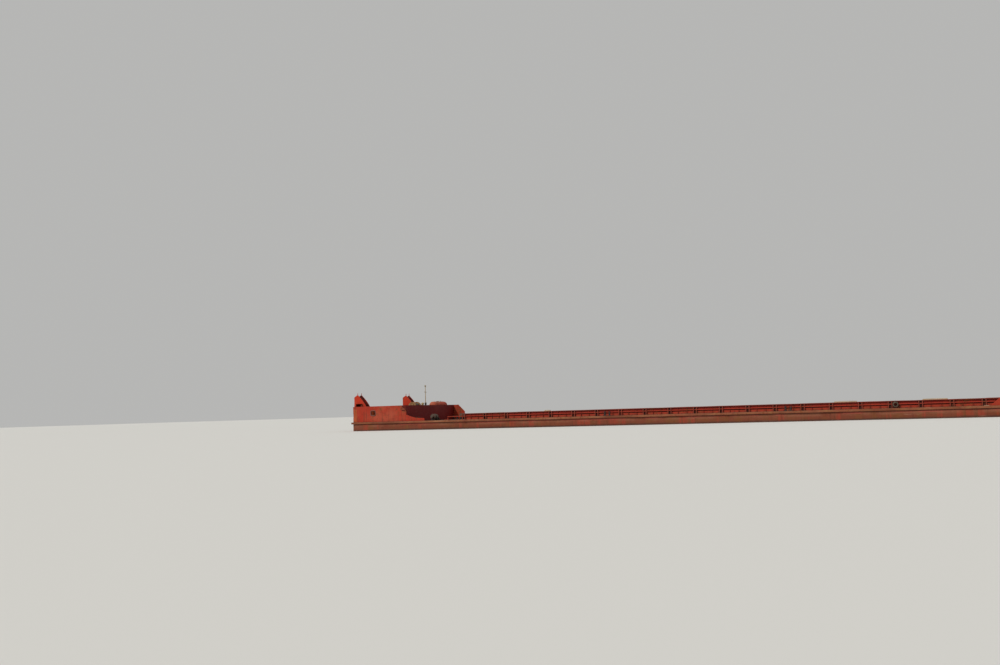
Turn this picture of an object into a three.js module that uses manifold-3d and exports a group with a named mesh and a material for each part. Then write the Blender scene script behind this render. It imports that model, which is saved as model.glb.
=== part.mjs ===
import * as THREE from 'three';
import { mergeVertices } from 'three/addons/utils/BufferGeometryUtils.js';
import Module from 'manifold-3d';

// River deck barge, a scale model at 1:10. Millimetres, +X to the bow, +Y to port, +Z up.
// The origin lies on the flat bottom, at mid length, on the centre line.

const wasm = await Module();
wasm.setup();

// Driving dimensions of the whole vessel
const LENGTH = 8500;
const BEAM = 1460;
const DECK = 325;
const RAISED_DECK = 405;
const BULWARK_TOP = 535;
const FENDER_DEPTH = 20;
const FENDER_FOOT = 306;
const FENDER_TOP = 330;
const GAP = 0.3;

// Hull form
const HALF_BEAM = BEAM / 2;
const HULL_END = LENGTH / 2 - FENDER_DEPTH;
const BOW_CORNER = 300;
const STERN_CORNER = 30;
const BILGE_RADIUS = 45;
const TRANSOM_FOOT = 130;
const STERN_RAKE_END = -3300;
const STERN_RAKE_PULL = -3700;
const BOW_RAKE_START = 3250;
const BOW_RAKE_PULL = 3700;
const BOW_RAKE_TOP = 270;
const STRAIGHT_SIDE_END = HULL_END - BOW_CORNER;
const ARC_STEPS = 5;
const PLAN_STEPS = 12;
const RAKE_STEPS = 9;

// Skegs under the stern rake
const SKEG_OFFSET = 380;
const SKEG_THICKNESS = 14;
const SKEG_AFT = -4180;
const SKEG_FORE = -3560;
const SKEG_FOOT = 8;

// Cargo coaming: a bay is the distance from one pair of posts to the next
const BAY = 292;
const BAYS = 21;
const COAMING_AFT = -2644;
const COAMING_FORE = COAMING_AFT + BAYS * BAY;
const COAMING_FACE = 640;
const COAMING_PLATE = 6;
const COAMING_TOP = 407;
const RAIL_HEIGHT = 7;
const RAIL_OVERHANG = 14;
const POST_WIDTH = 7;
const POST_DEPTH = 18;
const POST_PAIR = 35;
const RIB_WIDTH = 3;
const RIB_DEPTH = 9;
const STRINGER_FOOT = 369;
const STRINGER_HEIGHT = 8;
const STRINGER_DEPTH = 11;
const LOW_RAIL_LENGTH = 230;
const END_POST_PITCH = 146;

// Thicker plating on the cargo deck, inside the coaming
const CARGO_PLATE_INSET = 20;
const CARGO_PLATE_PROUD = 1;

// Doubled deck margin between the coaming and the fender
const MARGIN_INNER = COAMING_FACE + POST_DEPTH + 2;
const SIDE_BOLLARD_BAYS = [6.5, 13.5];
const SIDE_BOLLARD_INSET = 26;

// Ends of the vessel
const STERN_WALL = -3462;
const BOW_BREAK = 3600;
const BULWARK_PLATE = 9.4;
const WALL_PLATE = 6;
const RAISED_HALF = HALF_BEAM - BULWARK_PLATE - 2 * GAP;
const CAP_WIDTH = 20;
const CAP_HEIGHT = 6;
const STAY_PITCH = 146;
const STAY_DEPTH = 32;
const STAY_HEAD = 10;
const STAY_WIDTH = 4;
const GANGWAY = 60;
const BOW_SLOPE_FOOT = 3243;
const BOW_SLOPE_HEAD = 3331;
const BOW_SILL = 409;
const BOW_RISE_FOOT = 3560;
const BOW_RISE_HEAD = 3680;
const BOW_WALL_TOP = 460;
const BOW_GANGWAY_HALF = 60;
const TAIL_END = STERN_WALL + 297;
const MARGIN_AFT = TAIL_END + 5;

// Fairleads: framed openings at the foot of the bulwarks
const FAIRLEAD_LONG = 66;
const FAIRLEAD_HIGH = 60;
const FAIRLEAD_CORNER = 14;
const FAIRLEAD_FRAME = 7;
const FAIRLEAD_PROUD = 6;
const FAIRLEAD_Z = RAISED_DECK + 40;
const STERN_FAIRLEADS = [-3926];
const BOW_FAIRLEADS = [3750];
const END_FAIRLEADS = [-365, 365];

// Push knees on the stern corners, from the pushing face at the stern
const KNEE_WIDTH = 100;
const KNEE_INSET = 20;
const KNEE_TOP = 688;
const KNEE_SHOULDER = 660;
const KNEE_HEAD = 62;
const KNEE_BACK = 182;
const KNEE_FOOT = 192;
const KNEE_PULL = [154, 592];
const KNEE_PLATE = 8;
const KNEE_RECESS = 30;
const KNEE_RUNGS = [0.14, 0.34, 0.54, 0.74, 0.94];
const RUNG_RADIUS = 4;
const HORN_RADIUS = 3.6;
const HORN_HEIGHT = 28;
const KNEE_INNER = RAISED_HALF - KNEE_INSET - KNEE_WIDTH;

// Hatches: the well is square, the lid turns about pins on its after edge
const HATCH_OUTER = 92;
const HATCH_HALF = HATCH_OUTER / 2;
const HATCH_WALL = 7;
const HATCH_TOP = RAISED_DECK + 40;
const HATCH_FLOOR = 345;
const LID_OVERLAP = 4;
const LID_THICKNESS = 5;
const HINGE_OFFSET = 9;
const HINGE_LIFT = 3;
const HINGE_SPACING = 28;
const BARREL_RADIUS = 4;
const BARREL_HALF = 7;
const PIN_RADIUS = 2;
const LUG_HALF = 5;
const LUG_WIDTH = 3.2;

// Winches: sizes of each, and what they share
const CHEEK = 7;
const CHEEK_PLAY = 2;
const FLANGE_WIDTH = 5;
const GEAR_WIDTH = 9;
const MOTOR_BED = 44;
const WINDLASS = { drum: 34, flange: 58, length: 120, axis: 120, head: 28, gear: 54 };
const BOW_WINDLASS = { drum: 34, flange: 56, length: 120, axis: 76, head: 28, gear: 54 };
const COUPLING_WINCH = { drum: 20, flange: 36, length: 60, axis: 52, head: 18, gear: 34 };

// Folding masts
const MAST_BARREL = 8;
const MAST_FOOT_RADIUS = 5;
const MAST_HEAD_RADIUS = 3.2;

// Places: x, y and the deck that carries the piece
const STERN_HATCHES = [[-3880, -300], [-3880, 300]];
const BOW_HATCHES = [[3730, -420], [3730, 330]];
const STERN_WINDLASS_PLACE = [-3580, -225, RAISED_DECK];
const BOW_WINDLASS_PLACE = [3820, -60, RAISED_DECK];
const COUPLING_WINCH_PLACE = [-3180, 430, DECK];
const ANCHOR_PLACE = [4160, -60, RAISED_DECK];
const STERN_MAST = { place: [-3500, -60, RAISED_DECK], pivot: 156, height: 246 };
const BOW_MAST = { place: [4140, 260, RAISED_DECK], pivot: 70, height: 290 };
// Vents on the raised decks: x, y, height, cap radius
const STERN_VENTS = [[-3600, 40, 168, 18], [-3640, 110, 150, 18]];
const BOW_VENTS = [[3860, 430, 90, 16]];
// Tank on the stern deck: it lies across, on two saddles
const TANK = { place: [-3565, 440, RAISED_DECK], radius: 57, half: 190, axis: 122, saddle: 110 };
// Bollard pairs that stand alone: name, x, y, deck
const BOLLARDS = [
  ['stern_bollards_starboard', -3950, -560, RAISED_DECK],
  ['stern_bollards_port', -3950, 560, RAISED_DECK],
  ['well_bollards_starboard', -3360, -560, DECK],
  ['well_bollards_port', -3360, 560, DECK],
  ['bow_bollards_starboard', 3880, -560, RAISED_DECK],
  ['bow_bollards_port', 3880, 560, RAISED_DECK],
];
// Boards lying on the starboard coaming: first and last end, in bays
const BOARDS = [[3.72, 3.99], [15.09, 15.9], [18.06, 18.885]];
const BOARD_THICKNESS = 13;
const TYRE_BAY = 17;
const TYRE_MIDDLE = 368;
const TYRE_RADIUS = 30;
const TYRE_RIM = 16;
const TYRE_HALF = 8.5;

// Colours of the paint and of what is bare
const COLOURS = {
  hull: { color: 0x73422f, roughness: 0.85, metalness: 0.1 },
  red: { color: 0xa8351f, roughness: 0.6, metalness: 0.1 },
  coaming: { color: 0x8c3023, roughness: 0.7, metalness: 0.1 },
  maroon: { color: 0x3c1919, roughness: 0.7, metalness: 0.1 },
  fender: { color: 0x82533c, roughness: 0.8, metalness: 0.1 },
  deck: { color: 0x5a3b30, roughness: 0.9, metalness: 0.1 },
  black: { color: 0x24221f, roughness: 0.7, metalness: 0.3 },
  wood: { color: 0x967660, roughness: 0.9, metalness: 0 },
  rubber: { color: 0x2c2b29, roughness: 0.95, metalness: 0 },
  grey: { color: 0x85827a, roughness: 0.6, metalness: 0.3 },
  cream: { color: 0xbcab82, roughness: 0.7, metalness: 0.1 },
};
const materials = Object.fromEntries(
  Object.entries(COLOURS).map(([name, values]) => [name, new THREE.MeshStandardMaterial(values)]),
);

const barge = new THREE.Group();

// Solids: geometry becomes a solid where it is joined or cut

function solid(geometry) {
  geometry.deleteAttribute('normal');
  geometry.deleteAttribute('uv');
  const merged = mergeVertices(geometry, 1e-3);
  const corners = merged.index.array;
  const kept = [];
  for (let i = 0; i < corners.length; i += 3) {
    const [a, b, c] = [corners[i], corners[i + 1], corners[i + 2]];
    if (a !== b && b !== c && c !== a) {
      kept.push(a, b, c);
    }
  }
  return new wasm.Manifold(new wasm.Mesh({
    numProp: 3,
    vertProperties: new Float32Array(merged.attributes.position.array),
    triVerts: new Uint32Array(kept),
  }));
}

function solids(pieces) {
  return pieces.flat(Infinity).map((piece) => (piece.isBufferGeometry ? solid(piece) : piece));
}

function join(...pieces) {
  return solids(pieces).reduce((whole, piece) => whole.add(piece));
}

function cut(body, ...tools) {
  return solids([body, tools]).reduce((whole, tool) => whole.subtract(tool));
}

function common(...pieces) {
  return solids(pieces).reduce((whole, piece) => whole.intersect(piece));
}

function addMesh(name, shape, material, position = [0, 0, 0], turn = 0) {
  const mesh = join(shape).getMesh();
  const geometry = new THREE.BufferGeometry();
  geometry.setAttribute('position', new THREE.BufferAttribute(new Float32Array(mesh.vertProperties), 3));
  geometry.setIndex(new THREE.BufferAttribute(new Uint32Array(mesh.triVerts), 1));
  geometry.computeVertexNormals();
  const node = new THREE.Mesh(geometry, materials[material]);
  node.name = name;
  node.position.set(...position);
  node.rotation.z = turn;
  barge.add(node);
}

// Basic forms

function block(xs, ys, zs) {
  const [x, y, z] = [xs, ys, zs].map((pair) => [Math.min(...pair), Math.max(...pair)]);
  const geometry = new THREE.BoxGeometry(x[1] - x[0], y[1] - y[0], z[1] - z[0]);
  return geometry.translate((x[0] + x[1]) / 2, (y[0] + y[1]) / 2, (z[0] + z[1]) / 2);
}

// A block given by its middle and half width across
function bar(xs, middleY, halfY, zs) {
  return block(xs, [middleY - halfY, middleY + halfY], zs);
}

function outline(points) {
  return new THREE.Shape(points.map(([a, b]) => new THREE.Vector2(a, b)));
}

function extruded(shape, depth, curveSegments = ARC_STEPS) {
  return new THREE.ExtrudeGeometry(shape, { depth, bevelEnabled: false, curveSegments });
}

// A shape drawn in plan, in side view or in section, with its thickness along the third axis
function planPrism(shape, z0, z1, arcSteps) {
  return extruded(shape, z1 - z0, arcSteps).translate(0, 0, z0);
}

function sidePrism(shape, y0, y1, arcSteps) {
  return extruded(shape, Math.abs(y1 - y0), arcSteps).rotateX(Math.PI / 2).translate(0, Math.max(y0, y1), 0);
}

const TO_SECTION = new THREE.Matrix4().makeBasis(
  new THREE.Vector3(0, 1, 0),
  new THREE.Vector3(0, 0, 1),
  new THREE.Vector3(1, 0, 0),
);

function sectionPrism(shape, x0, x1) {
  return extruded(shape, x1 - x0).applyMatrix4(TO_SECTION).translate(x0, 0, 0);
}

function rod(from, to, radius, sides = 12) {
  const start = new THREE.Vector3(...from);
  const end = new THREE.Vector3(...to);
  const along = end.clone().sub(start);
  const geometry = new THREE.CylinderGeometry(radius, radius, along.length(), sides);
  const turn = new THREE.Quaternion().setFromUnitVectors(new THREE.Vector3(0, 1, 0), along.normalize());
  const middle = start.add(end).multiplyScalar(0.5);
  return geometry.applyQuaternion(turn).translate(middle.x, middle.y, middle.z);
}

// A rod that lies across, about the line at x and z
function crossRod(x, z, y0, y1, radius, sides = 12) {
  return rod([x, y0, z], [x, y1, z], radius, sides);
}

// A profile of [radius, height] pairs turned about the Y axis or about an upright axis
function turnedAcross(profile, sides = 16) {
  return new THREE.LatheGeometry(profile.map(([radius, y]) => new THREE.Vector2(radius, y)), sides);
}

function turnedUpright(profile, sides = 12) {
  return turnedAcross(profile, sides).rotateX(Math.PI / 2);
}

function roundedRectangle(a, b, width, height, radius) {
  const [left, right] = [a - width / 2, a + width / 2];
  const [low, high] = [b - height / 2, b + height / 2];
  const shape = new THREE.Shape();
  shape.moveTo(left + radius, low);
  shape.lineTo(right - radius, low);
  shape.absarc(right - radius, low + radius, radius, -Math.PI / 2, 0, false);
  shape.lineTo(right, high - radius);
  shape.absarc(right - radius, high - radius, radius, 0, Math.PI / 2, false);
  shape.lineTo(left + radius, high);
  shape.absarc(left + radius, high - radius, radius, Math.PI / 2, Math.PI, false);
  shape.lineTo(left, low + radius);
  shape.absarc(left + radius, low + radius, radius, Math.PI, 1.5 * Math.PI, false);
  return shape;
}

// The hull in plan: small stern corners, large round bow corners
function planOutline(inset) {
  const half = HALF_BEAM - inset;
  const end = HULL_END - inset;
  const bow = BOW_CORNER - inset;
  const stern = Math.max(STERN_CORNER - inset, 1);
  const shape = new THREE.Shape();
  shape.moveTo(-end + stern, -half);
  shape.lineTo(end - bow, -half);
  shape.absarc(end - bow, -half + bow, bow, -Math.PI / 2, 0, false);
  shape.lineTo(end, half - bow);
  shape.absarc(end - bow, half - bow, bow, 0, Math.PI / 2, false);
  shape.lineTo(-end + stern, half);
  shape.absarc(-end + stern, half - stern, stern, Math.PI / 2, Math.PI, false);
  shape.lineTo(-end, -half + stern);
  shape.absarc(-end + stern, -half + stern, stern, Math.PI, 1.5 * Math.PI, false);
  return shape;
}

function hullSide() {
  const shape = new THREE.Shape();
  shape.moveTo(-HULL_END, DECK);
  shape.lineTo(-HULL_END, TRANSOM_FOOT);
  shape.quadraticCurveTo(STERN_RAKE_PULL, 0, STERN_RAKE_END, 0);
  shape.lineTo(BOW_RAKE_START, 0);
  shape.quadraticCurveTo(BOW_RAKE_PULL, 0, HULL_END, BOW_RAKE_TOP);
  shape.lineTo(HULL_END, DECK);
  return shape;
}

function hullSection() {
  const flat = HALF_BEAM - BILGE_RADIUS;
  const shape = new THREE.Shape();
  shape.moveTo(-HALF_BEAM, DECK);
  shape.lineTo(-HALF_BEAM, BILGE_RADIUS);
  shape.absarc(-flat, BILGE_RADIUS, BILGE_RADIUS, Math.PI, 1.5 * Math.PI, false);
  shape.lineTo(flat, 0);
  shape.absarc(flat, BILGE_RADIUS, BILGE_RADIUS, -Math.PI / 2, 0, false);
  shape.lineTo(HALF_BEAM, DECK);
  return shape;
}

function hull() {
  const body = common(
    sidePrism(hullSide(), -HALF_BEAM, HALF_BEAM, RAKE_STEPS),
    planPrism(planOutline(0), 0, DECK, PLAN_STEPS),
    sectionPrism(hullSection(), -HULL_END, HULL_END),
  );
  const cargoPlate = block(
    [COAMING_AFT + CARGO_PLATE_INSET, COAMING_FORE - CARGO_PLATE_INSET],
    [CARGO_PLATE_INSET - COAMING_FACE, COAMING_FACE - CARGO_PLATE_INSET],
    [DECK - 1, DECK + CARGO_PLATE_PROUD],
  );
  return join(body, cargoPlate);
}

function skeg(side) {
  const plate = bar([SKEG_AFT, SKEG_FORE], side * SKEG_OFFSET, SKEG_THICKNESS / 2, [SKEG_FOOT, TRANSOM_FOOT]);
  const rake = sidePrism(hullSide(), -HALF_BEAM, HALF_BEAM, RAKE_STEPS).translate(0, 0, -GAP);
  return cut(plate, rake);
}

// Bollards and fenders

function bollardPair(x, y, z) {
  const spacing = 56;
  const radius = 11;
  const height = 52;
  const head = radius + 4;
  const profile = [
    [0, 0],
    [radius, 0],
    [radius, height - 6],
    [head, height - 5],
    [head, height - 1],
    [radius + 2, height],
    [0, height],
  ];
  const posts = [-1, 1].map((end) => turnedUpright(profile, 10).translate(x + end * spacing / 2, y, z));
  const foot = block([x - spacing / 2 - 20, x + spacing / 2 + 20], [y - 18, y + 18], [z, z + 4]);
  return join(foot, posts);
}

function gunwale(side) {
  const fender = block(
    [-HULL_END + GAP, STRAIGHT_SIDE_END - GAP],
    [side * (HALF_BEAM + GAP), side * (HALF_BEAM + FENDER_DEPTH)],
    [FENDER_FOOT, FENDER_TOP],
  );
  const margin = block(
    [MARGIN_AFT, BOW_SLOPE_FOOT - 5],
    [side * MARGIN_INNER, side * (HALF_BEAM + FENDER_DEPTH / 2)],
    [DECK + GAP, FENDER_TOP],
  );
  const y = side * (HALF_BEAM - SIDE_BOLLARD_INSET);
  const bollards = SIDE_BOLLARD_BAYS.map((bay) => bollardPair(COAMING_AFT + bay * BAY, y, FENDER_TOP - 1));
  return join(fender, margin, bollards);
}

// The part of a ring round the bow, between two insets from the hull's outline
function bowRing(outerInset, innerInset, z0, z1) {
  const outer = planPrism(planOutline(outerInset), z0, z1, PLAN_STEPS);
  const inner = planPrism(planOutline(innerInset), z0 - 1, z1 + 1, PLAN_STEPS);
  const front = block([STRAIGHT_SIDE_END, LENGTH], [-BEAM, BEAM], [z0 - 1, z1 + 1]);
  return common(cut(outer, inner), front);
}

// Raised decks with their hatch wells and vents

function square([x, y], half, z0, z1) {
  return block([x - half, x + half], [y - half, y + half], [z0, z1]);
}

function hatchLugs([x, y]) {
  const axisX = x - HATCH_HALF - HINGE_OFFSET;
  const axisZ = HATCH_TOP + HINGE_LIFT;
  return [-1, 1].map((side) => {
    const middle = y + side * HINGE_SPACING;
    const lugs = [-1, 1].map((end) => {
      const lugY = middle + end * (BARREL_HALF + 0.8 + LUG_WIDTH / 2);
      return [
        bar([axisX - LUG_HALF, axisX + LUG_HALF], lugY, LUG_WIDTH / 2, [HATCH_TOP - 22, axisZ + 3]),
        bar([axisX - LUG_HALF, x - HATCH_HALF + 1], lugY, LUG_WIDTH / 2, [HATCH_TOP - 22, HATCH_TOP - 3]),
      ];
    });
    const pin = crossRod(axisX, axisZ, middle - BARREL_HALF - 2, middle + BARREL_HALF + 2, PIN_RADIUS);
    return join(lugs, pin);
  });
}

function vent([x, y, height, cap]) {
  const stem = cap * 0.5;
  const profile = [
    [0, -1],
    [stem, -1],
    [stem, height - 26],
    [cap, height - 22],
    [cap, height - 10],
    [stem, height],
    [0, height],
  ];
  return turnedUpright(profile).translate(x, y, RAISED_DECK);
}

function raisedDeck(xs, hatches, vents) {
  const slab = common(
    planPrism(planOutline(BULWARK_PLATE + 2 * GAP), DECK + GAP, RAISED_DECK, PLAN_STEPS),
    block(xs, [-BEAM, BEAM], [0, LENGTH]),
  );
  const wells = hatches.map((place) => square(place, HATCH_HALF, RAISED_DECK - 1, HATCH_TOP));
  const holes = hatches.map((place) => square(place, HATCH_HALF - HATCH_WALL, HATCH_FLOOR, HATCH_TOP + 1));
  return cut(join(slab, wells, hatches.map(hatchLugs), vents.map(vent)), holes);
}

// A hatch lid, from the middle of its well's top
function hatchLid() {
  const reach = HATCH_HALF + LID_OVERLAP;
  const axisX = -HATCH_HALF - HINGE_OFFSET;
  const plate = block([-HATCH_HALF - 1, reach], [-reach, reach], [GAP, LID_THICKNESS]);
  const ribTop = LID_THICKNESS + 5;
  const ribs = [-1, 1].map((side) => bar(
    [-HATCH_HALF + 4, reach - 6],
    side * HINGE_SPACING,
    2,
    [LID_THICKNESS - 1, ribTop],
  ));
  const hinges = [-1, 1].map((side) => {
    const middle = side * HINGE_SPACING;
    const arm = bar([axisX, -HATCH_HALF + 6], middle, BARREL_HALF, [GAP + 0.5, LID_THICKNESS]);
    const barrel = crossRod(axisX, HINGE_LIFT, middle - BARREL_HALF, middle + BARREL_HALF, BARREL_RADIUS);
    const bore = crossRod(axisX, HINGE_LIFT, middle - BARREL_HALF - 1, middle + BARREL_HALF + 1, PIN_RADIUS + 0.4);
    return cut(join(arm, barrel), bore);
  });
  const gripX = [reach - 16, reach - 13];
  const gripTop = LID_THICKNESS + 8;
  const grip = [
    bar(gripX, -12.5, 1.5, [LID_THICKNESS - 1, gripTop]),
    bar(gripX, 12.5, 1.5, [LID_THICKNESS - 1, gripTop]),
    bar(gripX, 0, 14, [gripTop - 3, gripTop]),
  ];
  return join(plate, ribs, hinges, grip);
}

// Bulwarks: a plate with stays on its inner face, a cap rail and framed fairleads

function stayOutline(face, inward) {
  return outline([
    [face - inward, RAISED_DECK + GAP],
    [face - inward, BULWARK_TOP - 2],
    [face + inward * STAY_HEAD, BULWARK_TOP - 2],
    [face + inward * STAY_DEPTH, RAISED_DECK + GAP],
  ]);
}

function clearOfFairleads(place, fairleads) {
  return fairleads.every((fairlead) => Math.abs(fairlead - place) > FAIRLEAD_LONG);
}

function withFairleads(body, fairleads, prism) {
  return fairleads.reduce((whole, place) => {
    const frame = roundedRectangle(
      place,
      FAIRLEAD_Z,
      FAIRLEAD_LONG + 2 * FAIRLEAD_FRAME,
      FAIRLEAD_HIGH + 2 * FAIRLEAD_FRAME,
      FAIRLEAD_CORNER + FAIRLEAD_FRAME,
    );
    const hole = roundedRectangle(place, FAIRLEAD_Z, FAIRLEAD_LONG, FAIRLEAD_HIGH, FAIRLEAD_CORNER);
    return cut(join(whole, prism(frame, 0)), prism(hole, 5));
  }, body);
}

function sideBulwark(side, profile, railXs, fairleads) {
  const outer = HALF_BEAM - GAP;
  const inner = outer - BULWARK_PLATE;
  const plate = sidePrism(outline(profile), side * inner, side * outer);
  const cap = block(railXs, [side * (outer - CAP_WIDTH), side * outer], [BULWARK_TOP - CAP_HEIGHT, BULWARK_TOP]);
  const stays = [];
  for (let x = railXs[0] + STAY_PITCH; x < railXs[1] - STAY_PITCH / 3; x += STAY_PITCH) {
    if (clearOfFairleads(x, fairleads)) {
      stays.push(sectionPrism(stayOutline(side * inner, -side), x - STAY_WIDTH / 2, x + STAY_WIDTH / 2));
    }
  }
  return withFairleads(join(plate, cap, stays), fairleads, (shape, past) => sidePrism(
    shape,
    side * (outer + past),
    side * (inner - FAIRLEAD_PROUD - past),
  ));
}

function sternBulwark(side) {
  const aft = -HULL_END + GAP;
  const foot = DECK + GAP;
  const tail = [
    [STERN_WALL + 292, 364],
    [TAIL_END, foot],
  ];
  const profiles = {
    '-1': [
      [aft, foot],
      [aft, BULWARK_TOP],
      [STERN_WALL + 29, BULWARK_TOP],
      [STERN_WALL + 31, 413],
      [STERN_WALL + 96, 389],
      [STERN_WALL + 162, 372],
      ...tail,
    ],
    1: [
      [aft, foot],
      [aft, BULWARK_TOP],
      [STERN_WALL + 75, BULWARK_TOP],
      [STERN_WALL + 172, 437],
      [STERN_WALL + 176, 380],
      ...tail,
    ],
  };
  const capStart = aft + KNEE_FOOT + GAP;
  const capEnd = side < 0 ? STERN_WALL - 33 : STERN_WALL - CAP_WIDTH - 2 * GAP;
  return sideBulwark(side, profiles[side], [capStart, capEnd], STERN_FAIRLEADS);
}

function bowBulwark(side) {
  const fore = STRAIGHT_SIDE_END - GAP;
  const profile = [
    [BOW_SLOPE_FOOT, DECK + GAP],
    [BOW_SLOPE_FOOT, FENDER_TOP + 1],
    [BOW_SLOPE_HEAD, BOW_SILL],
    [BOW_RISE_FOOT, BOW_SILL],
    [BOW_RISE_HEAD, BULWARK_TOP],
    [fore, BULWARK_TOP],
    [fore, DECK + GAP],
  ];
  return sideBulwark(side, profile, [BOW_RISE_HEAD, fore], BOW_FAIRLEADS);
}

function endStays(face, inward, count, fairleads) {
  const places = Array.from({ length: count }, (_, index) => (index - (count - 1) / 2) * STAY_PITCH);
  return places
    .filter((y) => clearOfFairleads(y, fairleads))
    .map((y) => sidePrism(stayOutline(face, inward), y - STAY_WIDTH / 2, y + STAY_WIDTH / 2));
}

function sternEndBulwark() {
  const outer = -HULL_END + GAP;
  const inner = outer + BULWARK_PLATE;
  const half = KNEE_INNER - GAP;
  const pastKnee = KNEE_INNER + KNEE_WIDTH + GAP;
  const plates = [
    block([outer, inner], [-half, half], [DECK + GAP, BULWARK_TOP]),
    block([outer, inner], [-RAISED_HALF, RAISED_HALF], [DECK + GAP, RAISED_DECK]),
    [-1, 1].map((side) => block(
      [outer, inner],
      [side * pastKnee, side * RAISED_HALF],
      [RAISED_DECK - 1, BULWARK_TOP],
    )),
  ];
  const cap = block([outer, outer + CAP_WIDTH], [-half, half], [BULWARK_TOP - CAP_HEIGHT, BULWARK_TOP]);
  const body = join(plates, cap, endStays(inner, 1, 8, END_FAIRLEADS));
  return withFairleads(body, END_FAIRLEADS, (shape, past) => sectionPrism(
    shape,
    outer - past,
    inner + FAIRLEAD_PROUD + past,
  ));
}

function bowEndBulwark() {
  const outer = HULL_END - GAP;
  const inner = outer - BULWARK_PLATE;
  const wall = bowRing(GAP, GAP + BULWARK_PLATE, DECK + GAP, BULWARK_TOP);
  const cap = bowRing(GAP, GAP + CAP_WIDTH, BULWARK_TOP - CAP_HEIGHT, BULWARK_TOP);
  const body = join(wall, cap, endStays(inner, -1, 5, END_FAIRLEADS));
  return withFairleads(body, END_FAIRLEADS, (shape, past) => sectionPrism(
    shape,
    inner - FAIRLEAD_PROUD - past,
    outer + past,
  ));
}

// The wall between the stern deck and the well deck, open at the starboard gangway
function sternWall() {
  const ys = [-HALF_BEAM + GANGWAY, RAISED_HALF];
  const aft = STERN_WALL - WALL_PLATE;
  const plate = block([aft, STERN_WALL], ys, [DECK + GAP, BULWARK_TOP]);
  const cap = block([STERN_WALL - CAP_WIDTH, STERN_WALL], ys, [BULWARK_TOP - CAP_HEIGHT, BULWARK_TOP]);
  const stays = [];
  for (let y = ys[0] + STAY_PITCH / 2; y < ys[1] - STAY_PITCH / 3; y += STAY_PITCH) {
    if (Math.abs(y - STERN_MAST.place[1]) > STAY_DEPTH) {
      stays.push(sidePrism(stayOutline(aft, -1), y - STAY_WIDTH / 2, y + STAY_WIDTH / 2));
    }
  }
  return join(plate, cap, stays);
}

// The low wall between the cargo deck and the bow deck, open in the middle above a sill
function bowWall() {
  const xs = [BOW_BREAK, BOW_BREAK + WALL_PLATE];
  const foot = DECK + GAP;
  const sill = block(xs, [-BOW_GANGWAY_HALF - 1, BOW_GANGWAY_HALF + 1], [foot, RAISED_DECK]);
  const halves = [-1, 1].map((side) => block(
    xs,
    [side * BOW_GANGWAY_HALF, side * RAISED_HALF],
    [foot, BOW_WALL_TOP],
  ));
  const stiffeners = [];
  for (let y = BOW_GANGWAY_HALF + 20; y < RAISED_HALF - 20; y += STAY_PITCH) {
    for (const side of [-1, 1]) {
      stiffeners.push(bar([BOW_BREAK - 7, BOW_BREAK + 1], side * y, STAY_WIDTH / 2, [foot, BOW_WALL_TOP - 8]));
    }
  }
  return join(sill, halves, stiffeners);
}

// Two steps up to a raised deck, from its wall at x outwards
function steps(x, outward, ys) {
  const tread = 30;
  const rise = (RAISED_DECK - DECK) / 3;
  return join([1, 2].map((step) => block(
    [x, x + outward * tread * (3 - step)],
    ys,
    [DECK + GAP, DECK + rise * step],
  )));
}

// Push knee: a pushing face between two pointed side plates. The web behind it is recessed, with rungs across,
// and a pocket for a coupling wire opens outboard.
function pushKnee(side) {
  const front = -HULL_END + GAP;
  const foot = RAISED_DECK + GAP;
  const back = new THREE.QuadraticBezierCurve(
    new THREE.Vector2(front + KNEE_HEAD, KNEE_TOP - 3),
    new THREE.Vector2(front + KNEE_PULL[0], KNEE_PULL[1]),
    new THREE.Vector2(front + KNEE_BACK, BULWARK_TOP),
  );
  const shape = new THREE.Shape();
  shape.moveTo(front, foot);
  shape.lineTo(front, KNEE_SHOULDER);
  shape.lineTo(front + KNEE_HEAD - 16, KNEE_TOP);
  shape.lineTo(back.v0.x, back.v0.y);
  shape.quadraticCurveTo(back.v1.x, back.v1.y, back.v2.x, back.v2.y);
  shape.lineTo(front + KNEE_FOOT, foot);
  const inside = [KNEE_PLATE - 1, KNEE_WIDTH - KNEE_PLATE + 1];
  const web = common(
    sidePrism(shape, ...inside),
    sidePrism(shape, ...inside).translate(-KNEE_RECESS, 0, -KNEE_RECESS / 2),
  );
  const plates = [0, KNEE_WIDTH - KNEE_PLATE].map((y) => sidePrism(shape, y, y + KNEE_PLATE));
  const rungs = KNEE_RUNGS.map((share) => {
    const { x, y: height } = back.getPoint(share);
    return crossRod(x - 2 * RUNG_RADIUS, height - RUNG_RADIUS, ...inside, RUNG_RADIUS, 8);
  });
  const horns = [KNEE_PLATE / 2, KNEE_WIDTH - KNEE_PLATE / 2].map((y) => rod(
    [front + KNEE_HEAD - 8, y, KNEE_TOP - 12],
    [front + KNEE_HEAD - 8, y, KNEE_TOP + HORN_HEIGHT],
    HORN_RADIUS,
    8,
  ));
  const pocket = roundedRectangle(front + 76, BULWARK_TOP + 19, 104, 40, 12);
  const depth = side < 0 ? [-1, KNEE_WIDTH - KNEE_PLATE] : [KNEE_PLATE, KNEE_WIDTH + 1];
  return cut(join(web, plates, rungs, horns), sidePrism(pocket, ...depth));
}

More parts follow.
